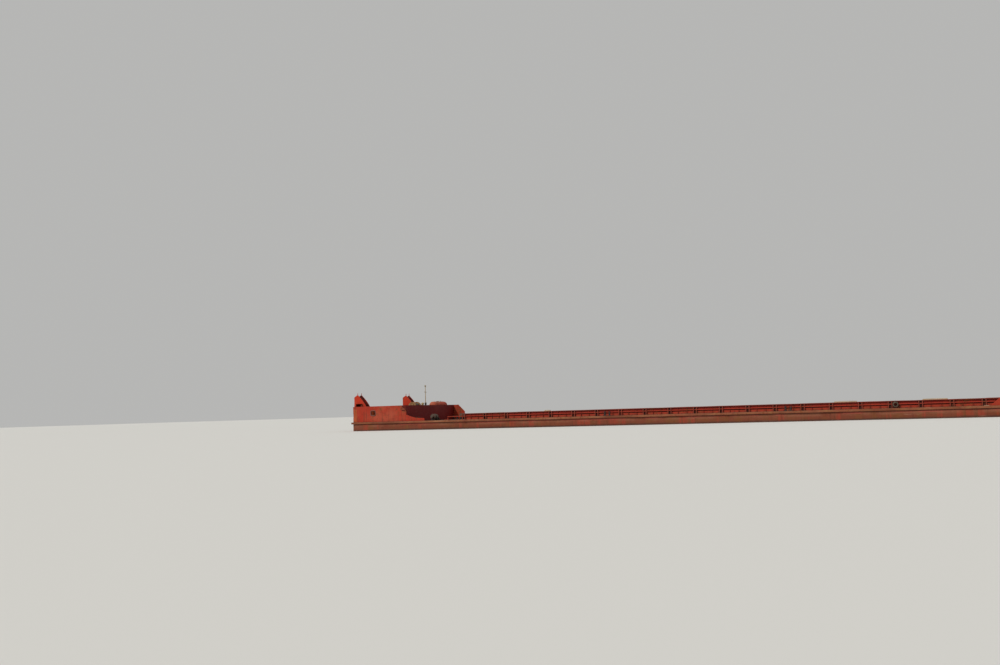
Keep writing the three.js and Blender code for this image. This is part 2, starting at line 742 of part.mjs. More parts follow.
// Cargo coaming along one side, with the low rail that runs aft from it
function sideCoaming(side) {
  const foot = DECK + GAP;
  const half = POST_PAIR / 2;
  const across = (inner, outer) => [side * (COAMING_FACE + inner), side * (COAMING_FACE + outer)];
  const stringerZ = [STRINGER_FOOT, STRINGER_FOOT + STRINGER_HEIGHT];
  const lowRailAft = COAMING_AFT - LOW_RAIL_LENGTH;
  const pieces = [
    block([COAMING_AFT, COAMING_FORE], across(-COAMING_PLATE, 0), [foot, COAMING_TOP - 1]),
    block(
      [COAMING_AFT - half - 4, COAMING_FORE + half + 4],
      across(-COAMING_PLATE - 6, RAIL_OVERHANG),
      [COAMING_TOP - RAIL_HEIGHT, COAMING_TOP],
    ),
    block([lowRailAft, COAMING_FORE + half], across(-1, STRINGER_DEPTH), stringerZ),
    block([lowRailAft, lowRailAft + POST_WIDTH], across(-1, STRINGER_DEPTH), [foot, stringerZ[1]]),
  ];
  for (let bay = 0; bay <= BAYS; bay += 1) {
    const x = COAMING_AFT + bay * BAY;
    for (const end of [-1, 1]) {
      const middle = x + end * half;
      const xs = [middle - POST_WIDTH / 2, middle + POST_WIDTH / 2];
      pieces.push(block(xs, across(-1, POST_DEPTH), [foot, COAMING_TOP - 2]));
    }
    if (bay < BAYS) {
      for (const third of [1, 2]) {
        const middle = x + third * BAY / 3;
        const xs = [middle - RIB_WIDTH / 2, middle + RIB_WIDTH / 2];
        pieces.push(block(xs, across(-1, RIB_DEPTH), [foot, COAMING_TOP - 2]));
      }
    }
  }
  return join(pieces);
}

// Cargo coaming across one end; its posts stand outwards
function endCoaming(x, outward) {
  const half = COAMING_FACE - COAMING_PLATE - GAP;
  const foot = DECK + GAP;
  const top = COAMING_TOP - RAIL_HEIGHT - GAP;
  const face = x + outward * COAMING_PLATE;
  const posts = Array.from({ length: 9 }, (_, index) => (index - 4) * END_POST_PITCH);
  return join(
    block([x, face], [-half, half], [foot, top]),
    block([x, face + outward * STRINGER_DEPTH], [-half, half], [STRINGER_FOOT, STRINGER_FOOT + STRINGER_HEIGHT]),
    block([x - outward * 6, face + outward * RAIL_OVERHANG], [-half + 7, half - 7], [top - 1, COAMING_TOP]),
    posts.map((y) => bar([x, face + outward * POST_DEPTH], y, POST_WIDTH / 2, [foot, top])),
  );
}

// Winches: a frame of two cheeks on a bed with its motor, and a drum with gear and warping head

function winchFrame(size) {
  const { drum, length, axis } = size;
  const shaft = drum * 0.42;
  const inner = length / 2 + FLANGE_WIDTH + CHEEK_PLAY;
  const outer = inner + CHEEK;
  const gearOuter = outer + 3 + GEAR_WIDTH;
  const bedHalf = drum * 1.9;
  const bed = block([-bedHalf, bedHalf], [-outer - 2, gearOuter + 3 + MOTOR_BED], [GAP, 6]);
  const crown = shaft + 9;
  const cheek = new THREE.Shape();
  cheek.moveTo(-bedHalf + 6, 5);
  cheek.lineTo(-crown, axis);
  cheek.absarc(0, axis, crown, Math.PI, 0, true);
  cheek.lineTo(bedHalf - 6, 5);
  const cheeks = [-1, 1].map((side) => sidePrism(cheek, side * inner, side * outer));
  const bore = crossRod(0, axis, -outer - 1, outer + 1, shaft + 1, 16);
  const motorY = gearOuter + 3 + MOTOR_BED / 2;
  const motorZ = axis * 0.42;
  const gearbox = bar([-drum * 0.9, drum * 0.9], motorY, MOTOR_BED / 2 - 2, [5, axis * 0.8]);
  const motor = rod([drum * 0.9 - 1, motorY, motorZ], [drum * 1.85, motorY, motorZ], axis * 0.2, 14);
  return join(cut(join(bed, cheeks), bore), gearbox, motor);
}

function winchDrum(size) {
  const { drum, flange, length, head, gear } = size;
  const shaft = drum * 0.42;
  const half = length / 2;
  const flangeOuter = half + FLANGE_WIDTH;
  const outer = flangeOuter + CHEEK_PLAY + CHEEK;
  const gearInner = outer + 3;
  const headInner = outer + 4;
  const headOuter = headInner + head * 1.6;
  const waist = head * 0.62;
  return turnedAcross([
    [0, -headOuter],
    [head, -headOuter],
    [head, -headOuter + 3],
    [waist, -headOuter + head * 0.5],
    [waist, -headInner - head * 0.45],
    [head * 0.95, -headInner],
    [shaft, -headInner],
    [shaft, -flangeOuter],
    [flange, -flangeOuter],
    [flange, -half],
    [drum, -half],
    [drum, half],
    [flange, half],
    [flange, flangeOuter],
    [shaft, flangeOuter],
    [shaft, gearInner],
    [gear, gearInner],
    [gear, gearInner + GEAR_WIDTH],
    [0, gearInner + GEAR_WIDTH],
  ]);
}

function addWinch(name, [x, y, z], size, frameColour = 'black', drumColour = 'grey') {
  addMesh(`${name}_frame`, winchFrame(size), frameColour, [x, y, z]);
  addMesh(`${name}_drum`, winchDrum(size), drumColour, [x, y, z + size.axis]);
}

// A tank with dished ends, lying across on two saddles
function tank({ radius, half, axis, saddle }) {
  const shell = turnedAcross([
    [0, -half],
    [radius * 0.6, -half + 5],
    [radius * 0.92, -half + 16],
    [radius, -half + 26],
    [radius, half - 26],
    [radius * 0.92, half - 16],
    [radius * 0.6, half - 5],
    [0, half],
  ], 20).translate(0, 0, axis);
  const saddles = [-1, 1].map((side) => bar([-radius * 0.8, radius * 0.8], side * saddle, 5, [GAP, axis * 0.78]));
  return join(shell, saddles);
}

// Folding mast: a foot with two cheeks and a pin, and the mast with its yard and lamp

function mastFoot({ pivot }) {
  const neck = pivot - MAST_BARREL - 3;
  return join(
    square([0, 0], 20, GAP, 4),
    square([0, 0], 7, GAP, neck),
    block([-9, 9], [-12, 12], [neck - 9, neck]),
    [-1, 1].map((side) => bar([-9, 9], side * 10, 2, [neck - 9, pivot + 9])),
    crossRod(0, pivot, -14, 14, PIN_RADIUS),
  );
}

function mast({ height }) {
  const barrel = crossRod(0, 0, -7, 7, MAST_BARREL, 16);
  const bore = crossRod(0, 0, -9, 9, PIN_RADIUS + 0.4);
  const pole = turnedUpright([
    [0, 5],
    [MAST_FOOT_RADIUS, 5],
    [MAST_HEAD_RADIUS, height - 10],
    [0, height - 10],
  ]);
  const lamp = turnedUpright([
    [0, height - 26],
    [7, height - 26],
    [9, height - 22],
    [9, height - 4],
    [4, height],
    [0, height],
  ]);
  const yard = crossRod(0, height * 0.62, -32, 32, 2.4, 10);
  return join(cut(barrel, bore), pole, lamp, yard);
}

// Anchor laid flat, its shank along X from the crown to the ring
function anchor() {
  const ringX = 150;
  const shank = block([0, ringX], [-6, 6], [GAP, 12]);
  const crown = block([-12, 10], [-46, 46], [GAP, 22]);
  const flukes = [-1, 1].map((side) => planPrism(outline([
    [0, side * 18],
    [70, side * 26],
    [108, side * 40],
    [70, side * 46],
    [0, side * 46],
  ]), 4, 14));
  const ring = rod([ringX, 0, GAP], [ringX, 0, 12], 13, 16);
  const eye = rod([ringX, 0, -1], [ringX, 0, 14], 6.5, 12);
  return cut(join(shank, crown, flukes, ring), eye);
}

// The chain's route from the windlass down to the deck and along it to the anchor's ring
function anchorChain() {
  const [x, , z] = BOW_WINDLASS_PLACE;
  const y = ANCHOR_PLACE[1];
  const ringEnd = ANCHOR_PLACE[0] - 168;
  const points = [
    [x + 46, z + 70],
    [x + 62, z + 40],
    [x + 90, z + 12],
    [x + 130, z + 5.5],
    [ringEnd, z + 5.5],
  ].map(([along, height]) => new THREE.Vector3(along, y, height));
  const link = new THREE.Shape();
  link.absarc(0, 0, 5, 0, 2 * Math.PI, false);
  return new THREE.ExtrudeGeometry(link, {
    steps: 16,
    curveSegments: 4,
    extrudePath: new THREE.CatmullRomCurve3(points),
    bevelEnabled: false,
  });
}

function tyre() {
  return turnedAcross([
    [TYRE_RIM, -TYRE_HALF + 2],
    [TYRE_RIM + 3, -TYRE_HALF],
    [TYRE_RADIUS - 5, -TYRE_HALF],
    [TYRE_RADIUS, -TYRE_HALF + 4],
    [TYRE_RADIUS, TYRE_HALF - 4],
    [TYRE_RADIUS - 5, TYRE_HALF],
    [TYRE_RIM + 3, TYRE_HALF],
    [TYRE_RIM, TYRE_HALF - 2],
    [TYRE_RIM, -TYRE_HALF + 2],
  ], 20);
}

// Assembly of the vessel

const SIDES = [['starboard', -1], ['port', 1]];

addMesh('hull', hull(), 'hull');
addMesh('stern_fender', block(
  [-LENGTH / 2, -HULL_END - GAP],
  [-HALF_BEAM - FENDER_DEPTH, HALF_BEAM + FENDER_DEPTH],
  [FENDER_FOOT, FENDER_TOP],
), 'fender');
addMesh('bow_fender', bowRing(-FENDER_DEPTH, -GAP, FENDER_FOOT, FENDER_TOP), 'fender');

SIDES.forEach(([name, side], index) => {
  addMesh(`skeg_${name}`, skeg(side), 'hull');
  addMesh(`gunwale_${name}`, gunwale(side), 'fender');
  addMesh(`transom_fender_${name}`, block(
    [-LENGTH / 2, -HULL_END - GAP],
    [side * KNEE_INNER, side * (KNEE_INNER + KNEE_WIDTH)],
    [TRANSOM_FOOT + 20, FENDER_FOOT - GAP],
  ), 'fender');
  addMesh(`coaming_${name}`, sideCoaming(side), 'coaming');
  addMesh(`stern_bulwark_${name}`, sternBulwark(side), 'red');
  addMesh(`bow_bulwark_${name}`, bowBulwark(side), 'red');
  addMesh(`push_knee_${name}`, pushKnee(side), 'red', [0, side < 0 ? -KNEE_INNER - KNEE_WIDTH : KNEE_INNER, 0]);
  const [winchX, winchY, winchZ] = COUPLING_WINCH_PLACE;
  addWinch(`coupling_winch_${name}`, [winchX, side * winchY, winchZ], COUPLING_WINCH);
  addMesh(`stern_hatch_lid_${name}`, hatchLid(), 'coaming', [...STERN_HATCHES[index], HATCH_TOP]);
  addMesh(`bow_hatch_lid_${name}`, hatchLid(), 'coaming', [...BOW_HATCHES[index], HATCH_TOP]);
});

addMesh('stern_raised_deck', raisedDeck(
  [-LENGTH, STERN_WALL - WALL_PLATE - GAP],
  STERN_HATCHES,
  STERN_VENTS,
), 'deck');
addMesh('bow_raised_deck', raisedDeck([BOW_BREAK + WALL_PLATE + GAP, LENGTH], BOW_HATCHES, BOW_VENTS), 'deck');
addMesh('stern_wall', sternWall(), 'maroon');
addMesh('bow_wall', bowWall(), 'coaming');
addMesh('stern_bulwark_end', sternEndBulwark(), 'red');
addMesh('bow_bulwark_end', bowEndBulwark(), 'red');
addMesh('stern_steps', steps(STERN_WALL + GAP, 1, [-RAISED_HALF, -HALF_BEAM + GANGWAY - GAP]), 'deck');
addMesh('bow_steps', steps(BOW_BREAK - GAP, -1, [-BOW_GANGWAY_HALF + 10, BOW_GANGWAY_HALF - 10]), 'deck');
addMesh('coaming_stern_end', endCoaming(COAMING_AFT + COAMING_PLATE + 1, -1), 'coaming');
addMesh('coaming_bow_end', endCoaming(COAMING_FORE - COAMING_PLATE - 1, 1), 'coaming');

BOARDS.forEach(([from, to], index) => {
  addMesh(`coaming_board_${index + 1}`, block(
    [COAMING_AFT + from * BAY, COAMING_AFT + to * BAY],
    [-COAMING_FACE - RAIL_OVERHANG - 2, -COAMING_FACE + 12],
    [COAMING_TOP + GAP, COAMING_TOP + BOARD_THICKNESS],
  ), 'wood');
});
addMesh('tyre_fender', tyre(), 'rubber', [
  COAMING_AFT + TYRE_BAY * BAY + (POST_PAIR + POST_WIDTH) / 2 + TYRE_RADIUS + 1,
  -COAMING_FACE - STRINGER_DEPTH - TYRE_HALF - GAP,
  TYRE_MIDDLE,
]);

for (const [name, x, y, level] of BOLLARDS) {
  addMesh(name, bollardPair(0, 0, GAP), 'black', [x, y, level]);
}
addWinch('stern_windlass', STERN_WINDLASS_PLACE, WINDLASS, 'cream', 'cream');
addWinch('bow_windlass', BOW_WINDLASS_PLACE, BOW_WINDLASS);

for (const [name, item] of [['stern_mast', STERN_MAST], ['bow_mast', BOW_MAST]]) {
  const [x, y, z] = item.place;
  addMesh(`${name}_foot`, mastFoot(item), 'black', [x, y, z]);
  addMesh(name, mast(item), 'cream', [x, y, z + item.pivot]);
}

addMesh('stern_tank', tank(TANK), 'red', TANK.place);
addMesh('anchor', anchor(), 'black', ANCHOR_PLACE, Math.PI);
addMesh('anchor_chain', anchorChain(), 'black');

export default barge;
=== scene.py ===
"""The looks of the river deck barge, a 1:10 scale model, in metres: +X to the bow, +Y to port, +Z up."""
import math

import bmesh
import bpy
from mathutils import Matrix, Vector, noise


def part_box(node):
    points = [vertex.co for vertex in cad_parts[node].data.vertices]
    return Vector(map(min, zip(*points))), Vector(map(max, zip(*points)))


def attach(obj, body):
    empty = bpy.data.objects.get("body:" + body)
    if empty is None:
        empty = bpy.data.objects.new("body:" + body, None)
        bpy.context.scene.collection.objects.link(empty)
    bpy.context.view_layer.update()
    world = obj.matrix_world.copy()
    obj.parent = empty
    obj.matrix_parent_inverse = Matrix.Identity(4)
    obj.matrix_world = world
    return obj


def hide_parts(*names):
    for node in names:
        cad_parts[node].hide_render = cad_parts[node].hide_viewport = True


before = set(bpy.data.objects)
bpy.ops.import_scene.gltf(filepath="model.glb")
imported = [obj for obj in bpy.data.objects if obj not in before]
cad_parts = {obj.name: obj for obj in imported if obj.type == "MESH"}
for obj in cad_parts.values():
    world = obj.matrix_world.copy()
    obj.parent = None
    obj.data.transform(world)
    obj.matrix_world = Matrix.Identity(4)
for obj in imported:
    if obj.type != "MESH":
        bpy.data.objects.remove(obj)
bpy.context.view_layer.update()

# Driving dimensions, the same as in the frame
LENGTH = 8.5
HALF_BEAM = 0.73
FENDER_DEPTH = 0.02
HULL_END = LENGTH / 2 - FENDER_DEPTH
DECK = 0.325
RAISED_DECK = 0.405
BULWARK_TOP = 0.535
FENDER_FOOT = 0.306
FENDER_TOP = 0.33
WATERLINE = 0.215
BOW_CORNER = 0.3
STERN_CORNER = 0.03
BILGE = 0.045
TRANSOM_FOOT = 0.13
STERN_RAKE = (-HULL_END, -3.7, -3.3)
BOW_RAKE = (3.25, 3.7, HULL_END)
BOW_RAKE_TOP = 0.27
BAY = 0.292
BAYS = 21
COAMING_AFT = -2.644
COAMING_FORE = COAMING_AFT + BAYS * BAY
COAMING_FACE = 0.64
COAMING_TOP = 0.407
POST_PAIR = 0.035
CARGO_INSET = 0.02
CARGO_PROUD = 0.001
FRAME_PITCH = BAY / 5
STRINGER_FOOT = 0.369
STRINGER_TOP = 0.377
RAIL_HEIGHT = 0.007
STERN_WALL = -3.462
SIDES = (("starboard", -1), ("port", 1))
GAP = 0.0003
BULWARK_OUTER = HALF_BEAM - GAP
BULWARK_PLATE = 0.0094
FAIRLEAD_FACE = BULWARK_PLATE + 0.006
FAIRLEAD_SIZE = (0.066, 0.06, 0.014)
FAIRLEAD_Z = RAISED_DECK + 0.04
SIDE_FAIRLEADS = (-3.926, 3.75)
KNEE_MIDDLE = 0.65
END_FAIRLEADS = (-0.365, 0.365)
MARGIN_XS = (-3.16, 3.238)
MARGIN_INNER = 0.66
SIDE_BOLLARDS = [COAMING_AFT + bay * BAY for bay in (6.5, 13.5)]
SIDE_BOLLARD_Y = HALF_BEAM - 0.026
BOLLARDS = {
    "stern_bollards": (-3.95, 0.56, RAISED_DECK),
    "well_bollards": (-3.36, 0.56, DECK),
    "bow_bollards": (3.88, 0.56, RAISED_DECK),
}
HATCHES = ((-3.88, -0.3), (-3.88, 0.3), (3.73, -0.42), (3.73, 0.33))
HATCH_HALF = 0.046
HATCH_WALL = 0.007
LUG_HEIGHTS = (RAISED_DECK + 0.019, RAISED_DECK + 0.031)
PIN_HEIGHT = RAISED_DECK + 0.026
RUNG_HEIGHTS = (RAISED_DECK - 0.041, RAISED_DECK - 0.017, RAISED_DECK + 0.007)
BOARDS = ((3.72, 3.99), (15.09, 15.9), (18.06, 18.885))
LOOSE_PLANK = (3.188, 3.236)
TYRE_PLACE = (COAMING_AFT + 17 * BAY + 0.052, -COAMING_FACE - 0.0198, COAMING_TOP - 0.039)
TYRE_RADIUS = 0.03
TYRE_RIM = 0.016
TYRE_HALF = 0.0085
TREAD_BLOCKS = 36

# Winches: the size of each, and its middle on the deck that carries it
CHEEK = 0.007
PLAY = 0.002
FLANGE = 0.005
GEAR_WIDTH = 0.009
MOTOR_BED = 0.044
WINDLASS = {"drum": 0.034, "flange": 0.058, "length": 0.12, "axis": 0.12, "head": 0.028, "gear": 0.054}
BOW_WINDLASS = {"drum": 0.034, "flange": 0.056, "length": 0.12, "axis": 0.076, "head": 0.028, "gear": 0.054}
COUPLING = {"drum": 0.02, "flange": 0.036, "length": 0.06, "axis": 0.052, "head": 0.018, "gear": 0.034}
WINCHES = {
    "stern_windlass": ((-3.58, -0.225, RAISED_DECK), WINDLASS),
    "bow_windlass": ((3.82, -0.06, RAISED_DECK), BOW_WINDLASS),
    "coupling_winch_starboard": ((-3.18, -0.43, DECK), COUPLING),
    "coupling_winch_port": ((-3.18, 0.43, DECK), COUPLING),
}
TANK_PLACE = (-3.565, 0.44, RAISED_DECK + 0.122)
TANK_RADIUS = 0.057
TANK_HALF = 0.19
TANK_SADDLE = 0.11
MASTS = {
    "stern_mast": ((-3.5, -0.06, RAISED_DECK + 0.156), 0.246),
    "bow_mast": ((4.14, 0.26, RAISED_DECK + 0.07), 0.29),
}
GUARD_RADIUS = 0.0104
CHAIN_Y = -0.06
CHAIN_ROUTE = ((3.866, 0.475), (3.882, 0.445), (3.91, 0.417), (3.95, 0.4105), (3.992, 0.4105))
MANHOLES = (
    (-4.06, -0.06, RAISED_DECK),
    (-3.8, 0.06, RAISED_DECK),
    (-3.04, 0.0, DECK),
    (-3.3, 0.16, DECK),
    (3.545, -0.4, DECK),
    (3.545, 0.4, DECK),
    (3.72, -0.02, RAISED_DECK),
    (4.06, -0.38, RAISED_DECK),
)

# Camera, as the photograph was taken
CAMERA_PLACE = Vector((2.380, -11.068, 0.420))
CAMERA_YAW = math.radians(23.32)
CAMERA_PITCH = math.radians(-4.95)
CAMERA_ROLL = math.radians(-1.72)
FOCAL_SHARE = 0.91015
SENSOR_WIDTH = 36

# Light: where each comes from, its strength and its softness in degrees
KEY_LIGHT = (Vector((-0.42, -0.84, 0.86)), 2.0, 5)
FILL_LIGHT = (Vector((0.6, 0.5, 0.7)), 0.25, 40)
SKY_STRENGTH = 0.5
FLOOR_HALF = 120


def srgb(red, green, blue):
    """A colour of 0 to 255 a channel, as the linear values that shaders take."""
    def linear(channel):
        share = channel / 255
        return share / 12.92 if share <= 0.04045 else ((share + 0.055) / 1.055) ** 2.4
    return (linear(red), linear(green), linear(blue), 1)


# Colours of paint, rust and dirt
RED = srgb(160, 47, 26)
RED_FADED = srgb(168, 76, 52)
KNEE_RED = srgb(178, 48, 21)
PRIMER = srgb(176, 84, 36)
COAMING_RED = srgb(162, 32, 18)
COAMING_FADED = srgb(170, 64, 40)
RAIL_DARK = srgb(92, 26, 20)
POST_PINK = srgb(150, 72, 54)
STRINGER_HIGHLIGHT = srgb(172, 66, 44)
FOOT_ORANGE = srgb(168, 62, 38)
PAINTED_SHADE_DARK = srgb(62, 14, 12)
SHADE_RED = srgb(72, 8, 6)
HULL_RED = srgb(114, 55, 36)
HULL_FADED = srgb(140, 84, 60)
HULL_OCHRE = srgb(116, 70, 34)
HULL_BRIGHT = srgb(152, 58, 40)
MAROON = srgb(106, 14, 13)
MAROON_FADED = srgb(112, 24, 19)
TAN = srgb(138, 84, 56)
TAN_DARK = srgb(100, 52, 34)
DECK_BROWN = srgb(104, 66, 52)
DECK_GREY = srgb(92, 80, 74)
LID_RED = srgb(146, 52, 38)
RUST = srgb(108, 56, 34)
DARK_RUST_AND_SHADE = srgb(58, 32, 24)
RUST_BRIGHT = srgb(158, 88, 46)
COAL_DUST = srgb(44, 42, 42)
DUST = srgb(152, 124, 98)
BLACK = srgb(46, 44, 43)
STEEL = srgb(98, 88, 78)
CREAM = srgb(176, 150, 102)
WINDLASS_TAN = srgb(146, 112, 72)
WINDLASS_PALE = srgb(170, 144, 106)
WHITE_PAINT = srgb(194, 174, 132)
WOOD = srgb(188, 158, 126)
WOOD_DARK = srgb(122, 94, 68)
RUBBER = srgb(84, 70, 58)
RUBBER_DUST = srgb(128, 106, 84)
ANTIFOULING = srgb(70, 40, 34)
WIRE = srgb(92, 84, 76)
IRON = srgb(66, 58, 54)
LAMP_GLASS = srgb(226, 214, 180)
SCRAPED_TAN = srgb(160, 110, 84)
FENDER_RED = srgb(140, 66, 48)
FENDER_OCHRE = srgb(146, 104, 58)
SCRAPED_HULL = srgb(176, 134, 108)
HULL_PALE = srgb(146, 96, 72)
HULL_PINK = srgb(168, 80, 66)
WATER_GRIME = srgb(60, 44, 36)
CARGO_BROWN = srgb(84, 66, 56)
BRACKET_PINK = srgb(158, 88, 64)
TANK_RED = srgb(164, 62, 42)
TANK_FADED = srgb(178, 94, 66)
RIM_GREY = srgb(112, 84, 76)
WOOD_SHADE = srgb(92, 70, 54)
FLOOR_PALE = srgb(214, 212, 206)
SKY_PALE = srgb(248, 248, 246)


# Materials


class Finish:
    """A material's node tree, with short calls for the nodes that these finishes use."""

    def __init__(self, name):
        self.material = bpy.data.materials.new(name)
        self.material.use_nodes = True
        tree = self.material.node_tree
        self.nodes = tree.nodes
        self.links = tree.links
        self.shader = self.nodes["Principled BSDF"]
        self.colour = None
        coordinates = self.nodes.new("ShaderNodeTexCoord")
        self.place = coordinates.outputs["Object"]
        axes = self.add("SeparateXYZ", inputs={0: self.place})
        self.x, self.y, self.z = axes.outputs
        facing = self.add("SeparateXYZ", inputs={0: coordinates.outputs["Normal"]})
        self.facing_up = self.ramp(facing.outputs[2], 0.55, 0.9)
        self.upright = self.ramp(self.math("ABSOLUTE", facing.outputs[2]), 0.7, 0.3)

    def add(self, kind, settings=None, inputs=None):
        node = self.nodes.new("ShaderNode" + kind)
        for key, value in (settings or {}).items():
            setattr(node, key, value)
        for key, value in (inputs or {}).items():
            self.feed(node.inputs[key], value)
        return node

    def feed(self, socket, value):
        if isinstance(value, bpy.types.NodeSocket):
            self.links.new(value, socket)
        else:
            socket.default_value = value

    def math(self, operation, first, second=0.0):
        node = self.add("Math", {"operation": operation}, {0: first, 1: second})
        return node.outputs[0]

    def ramp(self, value, low, high):
        """0 at low, 1 at high and smooth between; low may be above high."""
        inputs = {"Value": value, "From Min": low, "From Max": high}
        return self.add("MapRange", {"interpolation_type": "SMOOTHSTEP"}, inputs).outputs[0]

    def times(self, first, *others):
        """The product of all."""
        for other in others:
            first = self.math("MULTIPLY", first, other)
        return first

    def band(self, value, low, full, fade, high):
        """1 from full to fade, and 0 below low and above high."""
        return self.times(self.ramp(value, low, full), self.ramp(value, high, fade))

    def mix(self, first, second, *shares):
        """The first colour with the second over it, by the product of the shares."""
        node = self.add("Mix", {"data_type": "RGBA", "clamp_factor": True})
        self.feed(node.inputs[0], self.times(*shares))
        self.feed(node.inputs[6], first)
        self.feed(node.inputs[7], second)
        return node.outputs[2]

    def stretched(self, stretch, shift=0.0):
        node = self.add("VectorMath", {"operation": "MULTIPLY_ADD"}, {0: self.place, 1: stretch})
        node.inputs[2].default_value = (shift, shift * 1.7, shift * 2.3)
        return node.outputs[0]

    def noise(self, scale, detail=4.0, roughness=0.55, stretch=(1, 1, 1), shift=0.0):
        """Noise with scale bumps a metre, stretched by the shares along X, Y and Z."""
        inputs = {
            "Vector": self.stretched(stretch, shift),
            "Scale": scale,
            "Detail": detail,
            "Roughness": roughness,
        }
        return self.add("TexNoise", inputs=inputs).outputs[0]

    def plates(self, along, across, width, height, seam=0.0012):
        """Plating in courses: the share of each plate's own tint, and the seams."""
        vector = self.add("CombineXYZ", inputs={0: along, 1: across}).outputs[0]
        inputs = {
            "Vector": vector,
            "Color1": (0, 0, 0, 1),
            "Color2": (1, 1, 1, 1),
            "Mortar": (0.5, 0.5, 0.5, 1),
            "Scale": 1.0,
            "Mortar Size": seam,
            "Mortar Smooth": 0.4,
            "Brick Width": width,
            "Row Height": height,
        }
        node = self.add("TexBrick", {"offset": 0.5}, inputs)
        return node.outputs[0], node.outputs[1]

    def bump(self, height, distance, strength=1.0, normal=None):
        inputs = {"Height": height, "Distance": distance, "Strength": strength}
        if normal is not None:
            inputs["Normal"] = normal
        return self.add("Bump", inputs=inputs).outputs[0]

    def crevices(self, distance):
        """1 deep in a corner and 0 in the open; it masks the shade, with grime, that is painted into
        corners.
        """
        node = self.add("AmbientOcclusion", {"samples": 6}, {"Distance": distance})
        return self.ramp(node.outputs[1], 0.75, 0.25)

    def coat(self, colour, *shares):
        """Puts a colour over what is there, by the product of the shares."""
        self.colour = self.mix(self.colour, colour, *shares)

    def finish(self, roughness, normal=None, metallic=0.0, specular=0.4):
        self.feed(self.shader.inputs["Base Color"], self.colour)
        self.feed(self.shader.inputs["Roughness"], roughness)
        self.feed(self.shader.inputs["Metallic"], metallic)
        self.shader.inputs["Specular IOR Level"].default_value = specular
        if normal is not None:
            self.feed(self.shader.inputs["Normal"], normal)
        return self.material


def weathered(f, paint, faded, rust=0.5, streaks=0.5, dust=0.4, fade=0.5, grime=0.6, speckle=0.22, painted_shade=0.0):
    """Old paint on steel: faded in patches, streaked by rain, rusty in spots, dusty on top, with painted
    shade and grime in the corners, and a dark red painted shade where the caller asks for it.
    """
    fading = f.ramp(f.noise(2.3, 6, 0.6), 0.62 - 0.25 * fade, 0.8 - 0.25 * fade)
    f.colour = f.mix(paint, faded, fading)
    mottle = f.noise(17, 8, 0.65, shift=3.1)
    f.coat(DARK_RUST_AND_SHADE, f.ramp(mottle, 0.5, 0.76), 0.4)
    pale = f.ramp(f.noise(60, 5, 0.7, (1, 1, 0.35), 1.3), 0.6, 0.8)
    f.coat(DUST, pale, speckle)
    runs = f.ramp(f.noise(46, 6, 0.6, (1, 1, 0.07), 7.7), 0.52, 0.74)
    runs = f.times(runs, f.upright, streaks)
    f.coat(f.mix(RUST, DARK_RUST_AND_SHADE, f.noise(9)), runs)
    washes = f.ramp(f.noise(21, 4, 0.5, (1, 1, 0.09), 11.9), 0.55, 0.8)
    washes = f.times(washes, f.upright, 0.45 * streaks)
    f.coat(faded, washes)
    spots = f.times(f.noise(31, 10, 0.72, shift=5.3), f.math("ADD", f.noise(4.1, 3, shift=9.2), 0.55))
    spots = f.ramp(spots, 0.64 - 0.12 * rust, 0.72 - 0.12 * rust)
    rust_colour = f.mix(RUST, RUST_BRIGHT, f.ramp(f.noise(90, 4), 0.4, 0.7))
    f.coat(rust_colour, spots, 0.85)
    # Painted shade, with grime: the corners are darkened by the occlusion mask.
    corners = f.times(f.crevices(0.03), grime)
    f.coat(DARK_RUST_AND_SHADE, corners)
    dusty = f.times(f.facing_up, f.ramp(f.noise(8, 6), 0.3, 0.7), dust)
    f.coat(DUST, dusty)
    # Painted shade: a dark red laid where the caller asks for it.
    f.coat(SHADE_RED, painted_shade)
    roughness = f.add("MapRange", inputs={"Value": mottle, "To Min": 0.5, "To Max": 0.8}).outputs[0]
    roughness = f.math("ADD", roughness, f.times(spots, 0.15))
    normal = f.bump(f.noise(140, 6, 0.7), 0.0006, 0.5)
    normal = f.bump(spots, 0.0005, 0.6, normal)
    return f.finish(roughness, normal, specular=0.18)


def painted_steel(name, paint, faded, **wear):
    return weathered(Finish(name), paint, faded, **wear)


def bulwark_finish():
    """Bulwark paint: primer bare at the stern corners, and painted shade at the top of the starboard plate's
    fore end.
    """
    f = Finish("bulwark_red")
    starboard = f.ramp(f.y, 0, -0.1)
    aft_end = f.ramp(f.x, -HULL_END + 0.062, -HULL_END + 0.048)
    corner = f.times(aft_end, f.ramp(f.z, BULWARK_TOP - 0.029, BULWARK_TOP - 0.043))
    paint = f.mix(RED, PRIMER, corner, 0.85)
    # Painted shade: the top of the starboard plate's fore end is darkened.
    along = f.band(f.x, STERN_WALL - 0.035, STERN_WALL - 0.03, STERN_WALL + 0.06, STERN_WALL + 0.16)
    fore_end = f.times(along, f.ramp(f.z, BULWARK_TOP - 0.076, BULWARK_TOP - 0.071), starboard)
    seams = f.plates(f.x, f.z, 0.61, 1.2, 0.0016)[1]
    faded = f.mix(paint, RED_FADED, 0.8)
    paint = f.mix(paint, DARK_RUST_AND_SHADE, seams, 0.5)
    painted_shade = f.times(fore_end, 0.85)
    return weathered(f, paint, faded, rust=0.5, streaks=0.6, dust=0.3, painted_shade=painted_shade)


def knee_finish():
    """Push knee paint: brighter than the bulwark, with painted shade in the recess behind the face."""
    f = Finish("push_knee_red")
    # Painted shade: the recess behind the push face, about the knee's middle line, is darkened.
    off_centre = f.math("ABSOLUTE", f.math("SUBTRACT", f.math("ABSOLUTE", f.y), KNEE_MIDDLE))
    recess = f.ramp(off_centre, 0.0425, 0.0415)
    recess = f.times(recess, f.ramp(f.x, -HULL_END + 0.006, -HULL_END + 0.009))
    paint = f.mix(KNEE_RED, PAINTED_SHADE_DARK, recess, 0.93)
    faded = f.mix(paint, RED_FADED, 0.5)
    return weathered(f, paint, faded, rust=0.3, streaks=0.4, dust=0.2, grime=0.7, speckle=0.1)


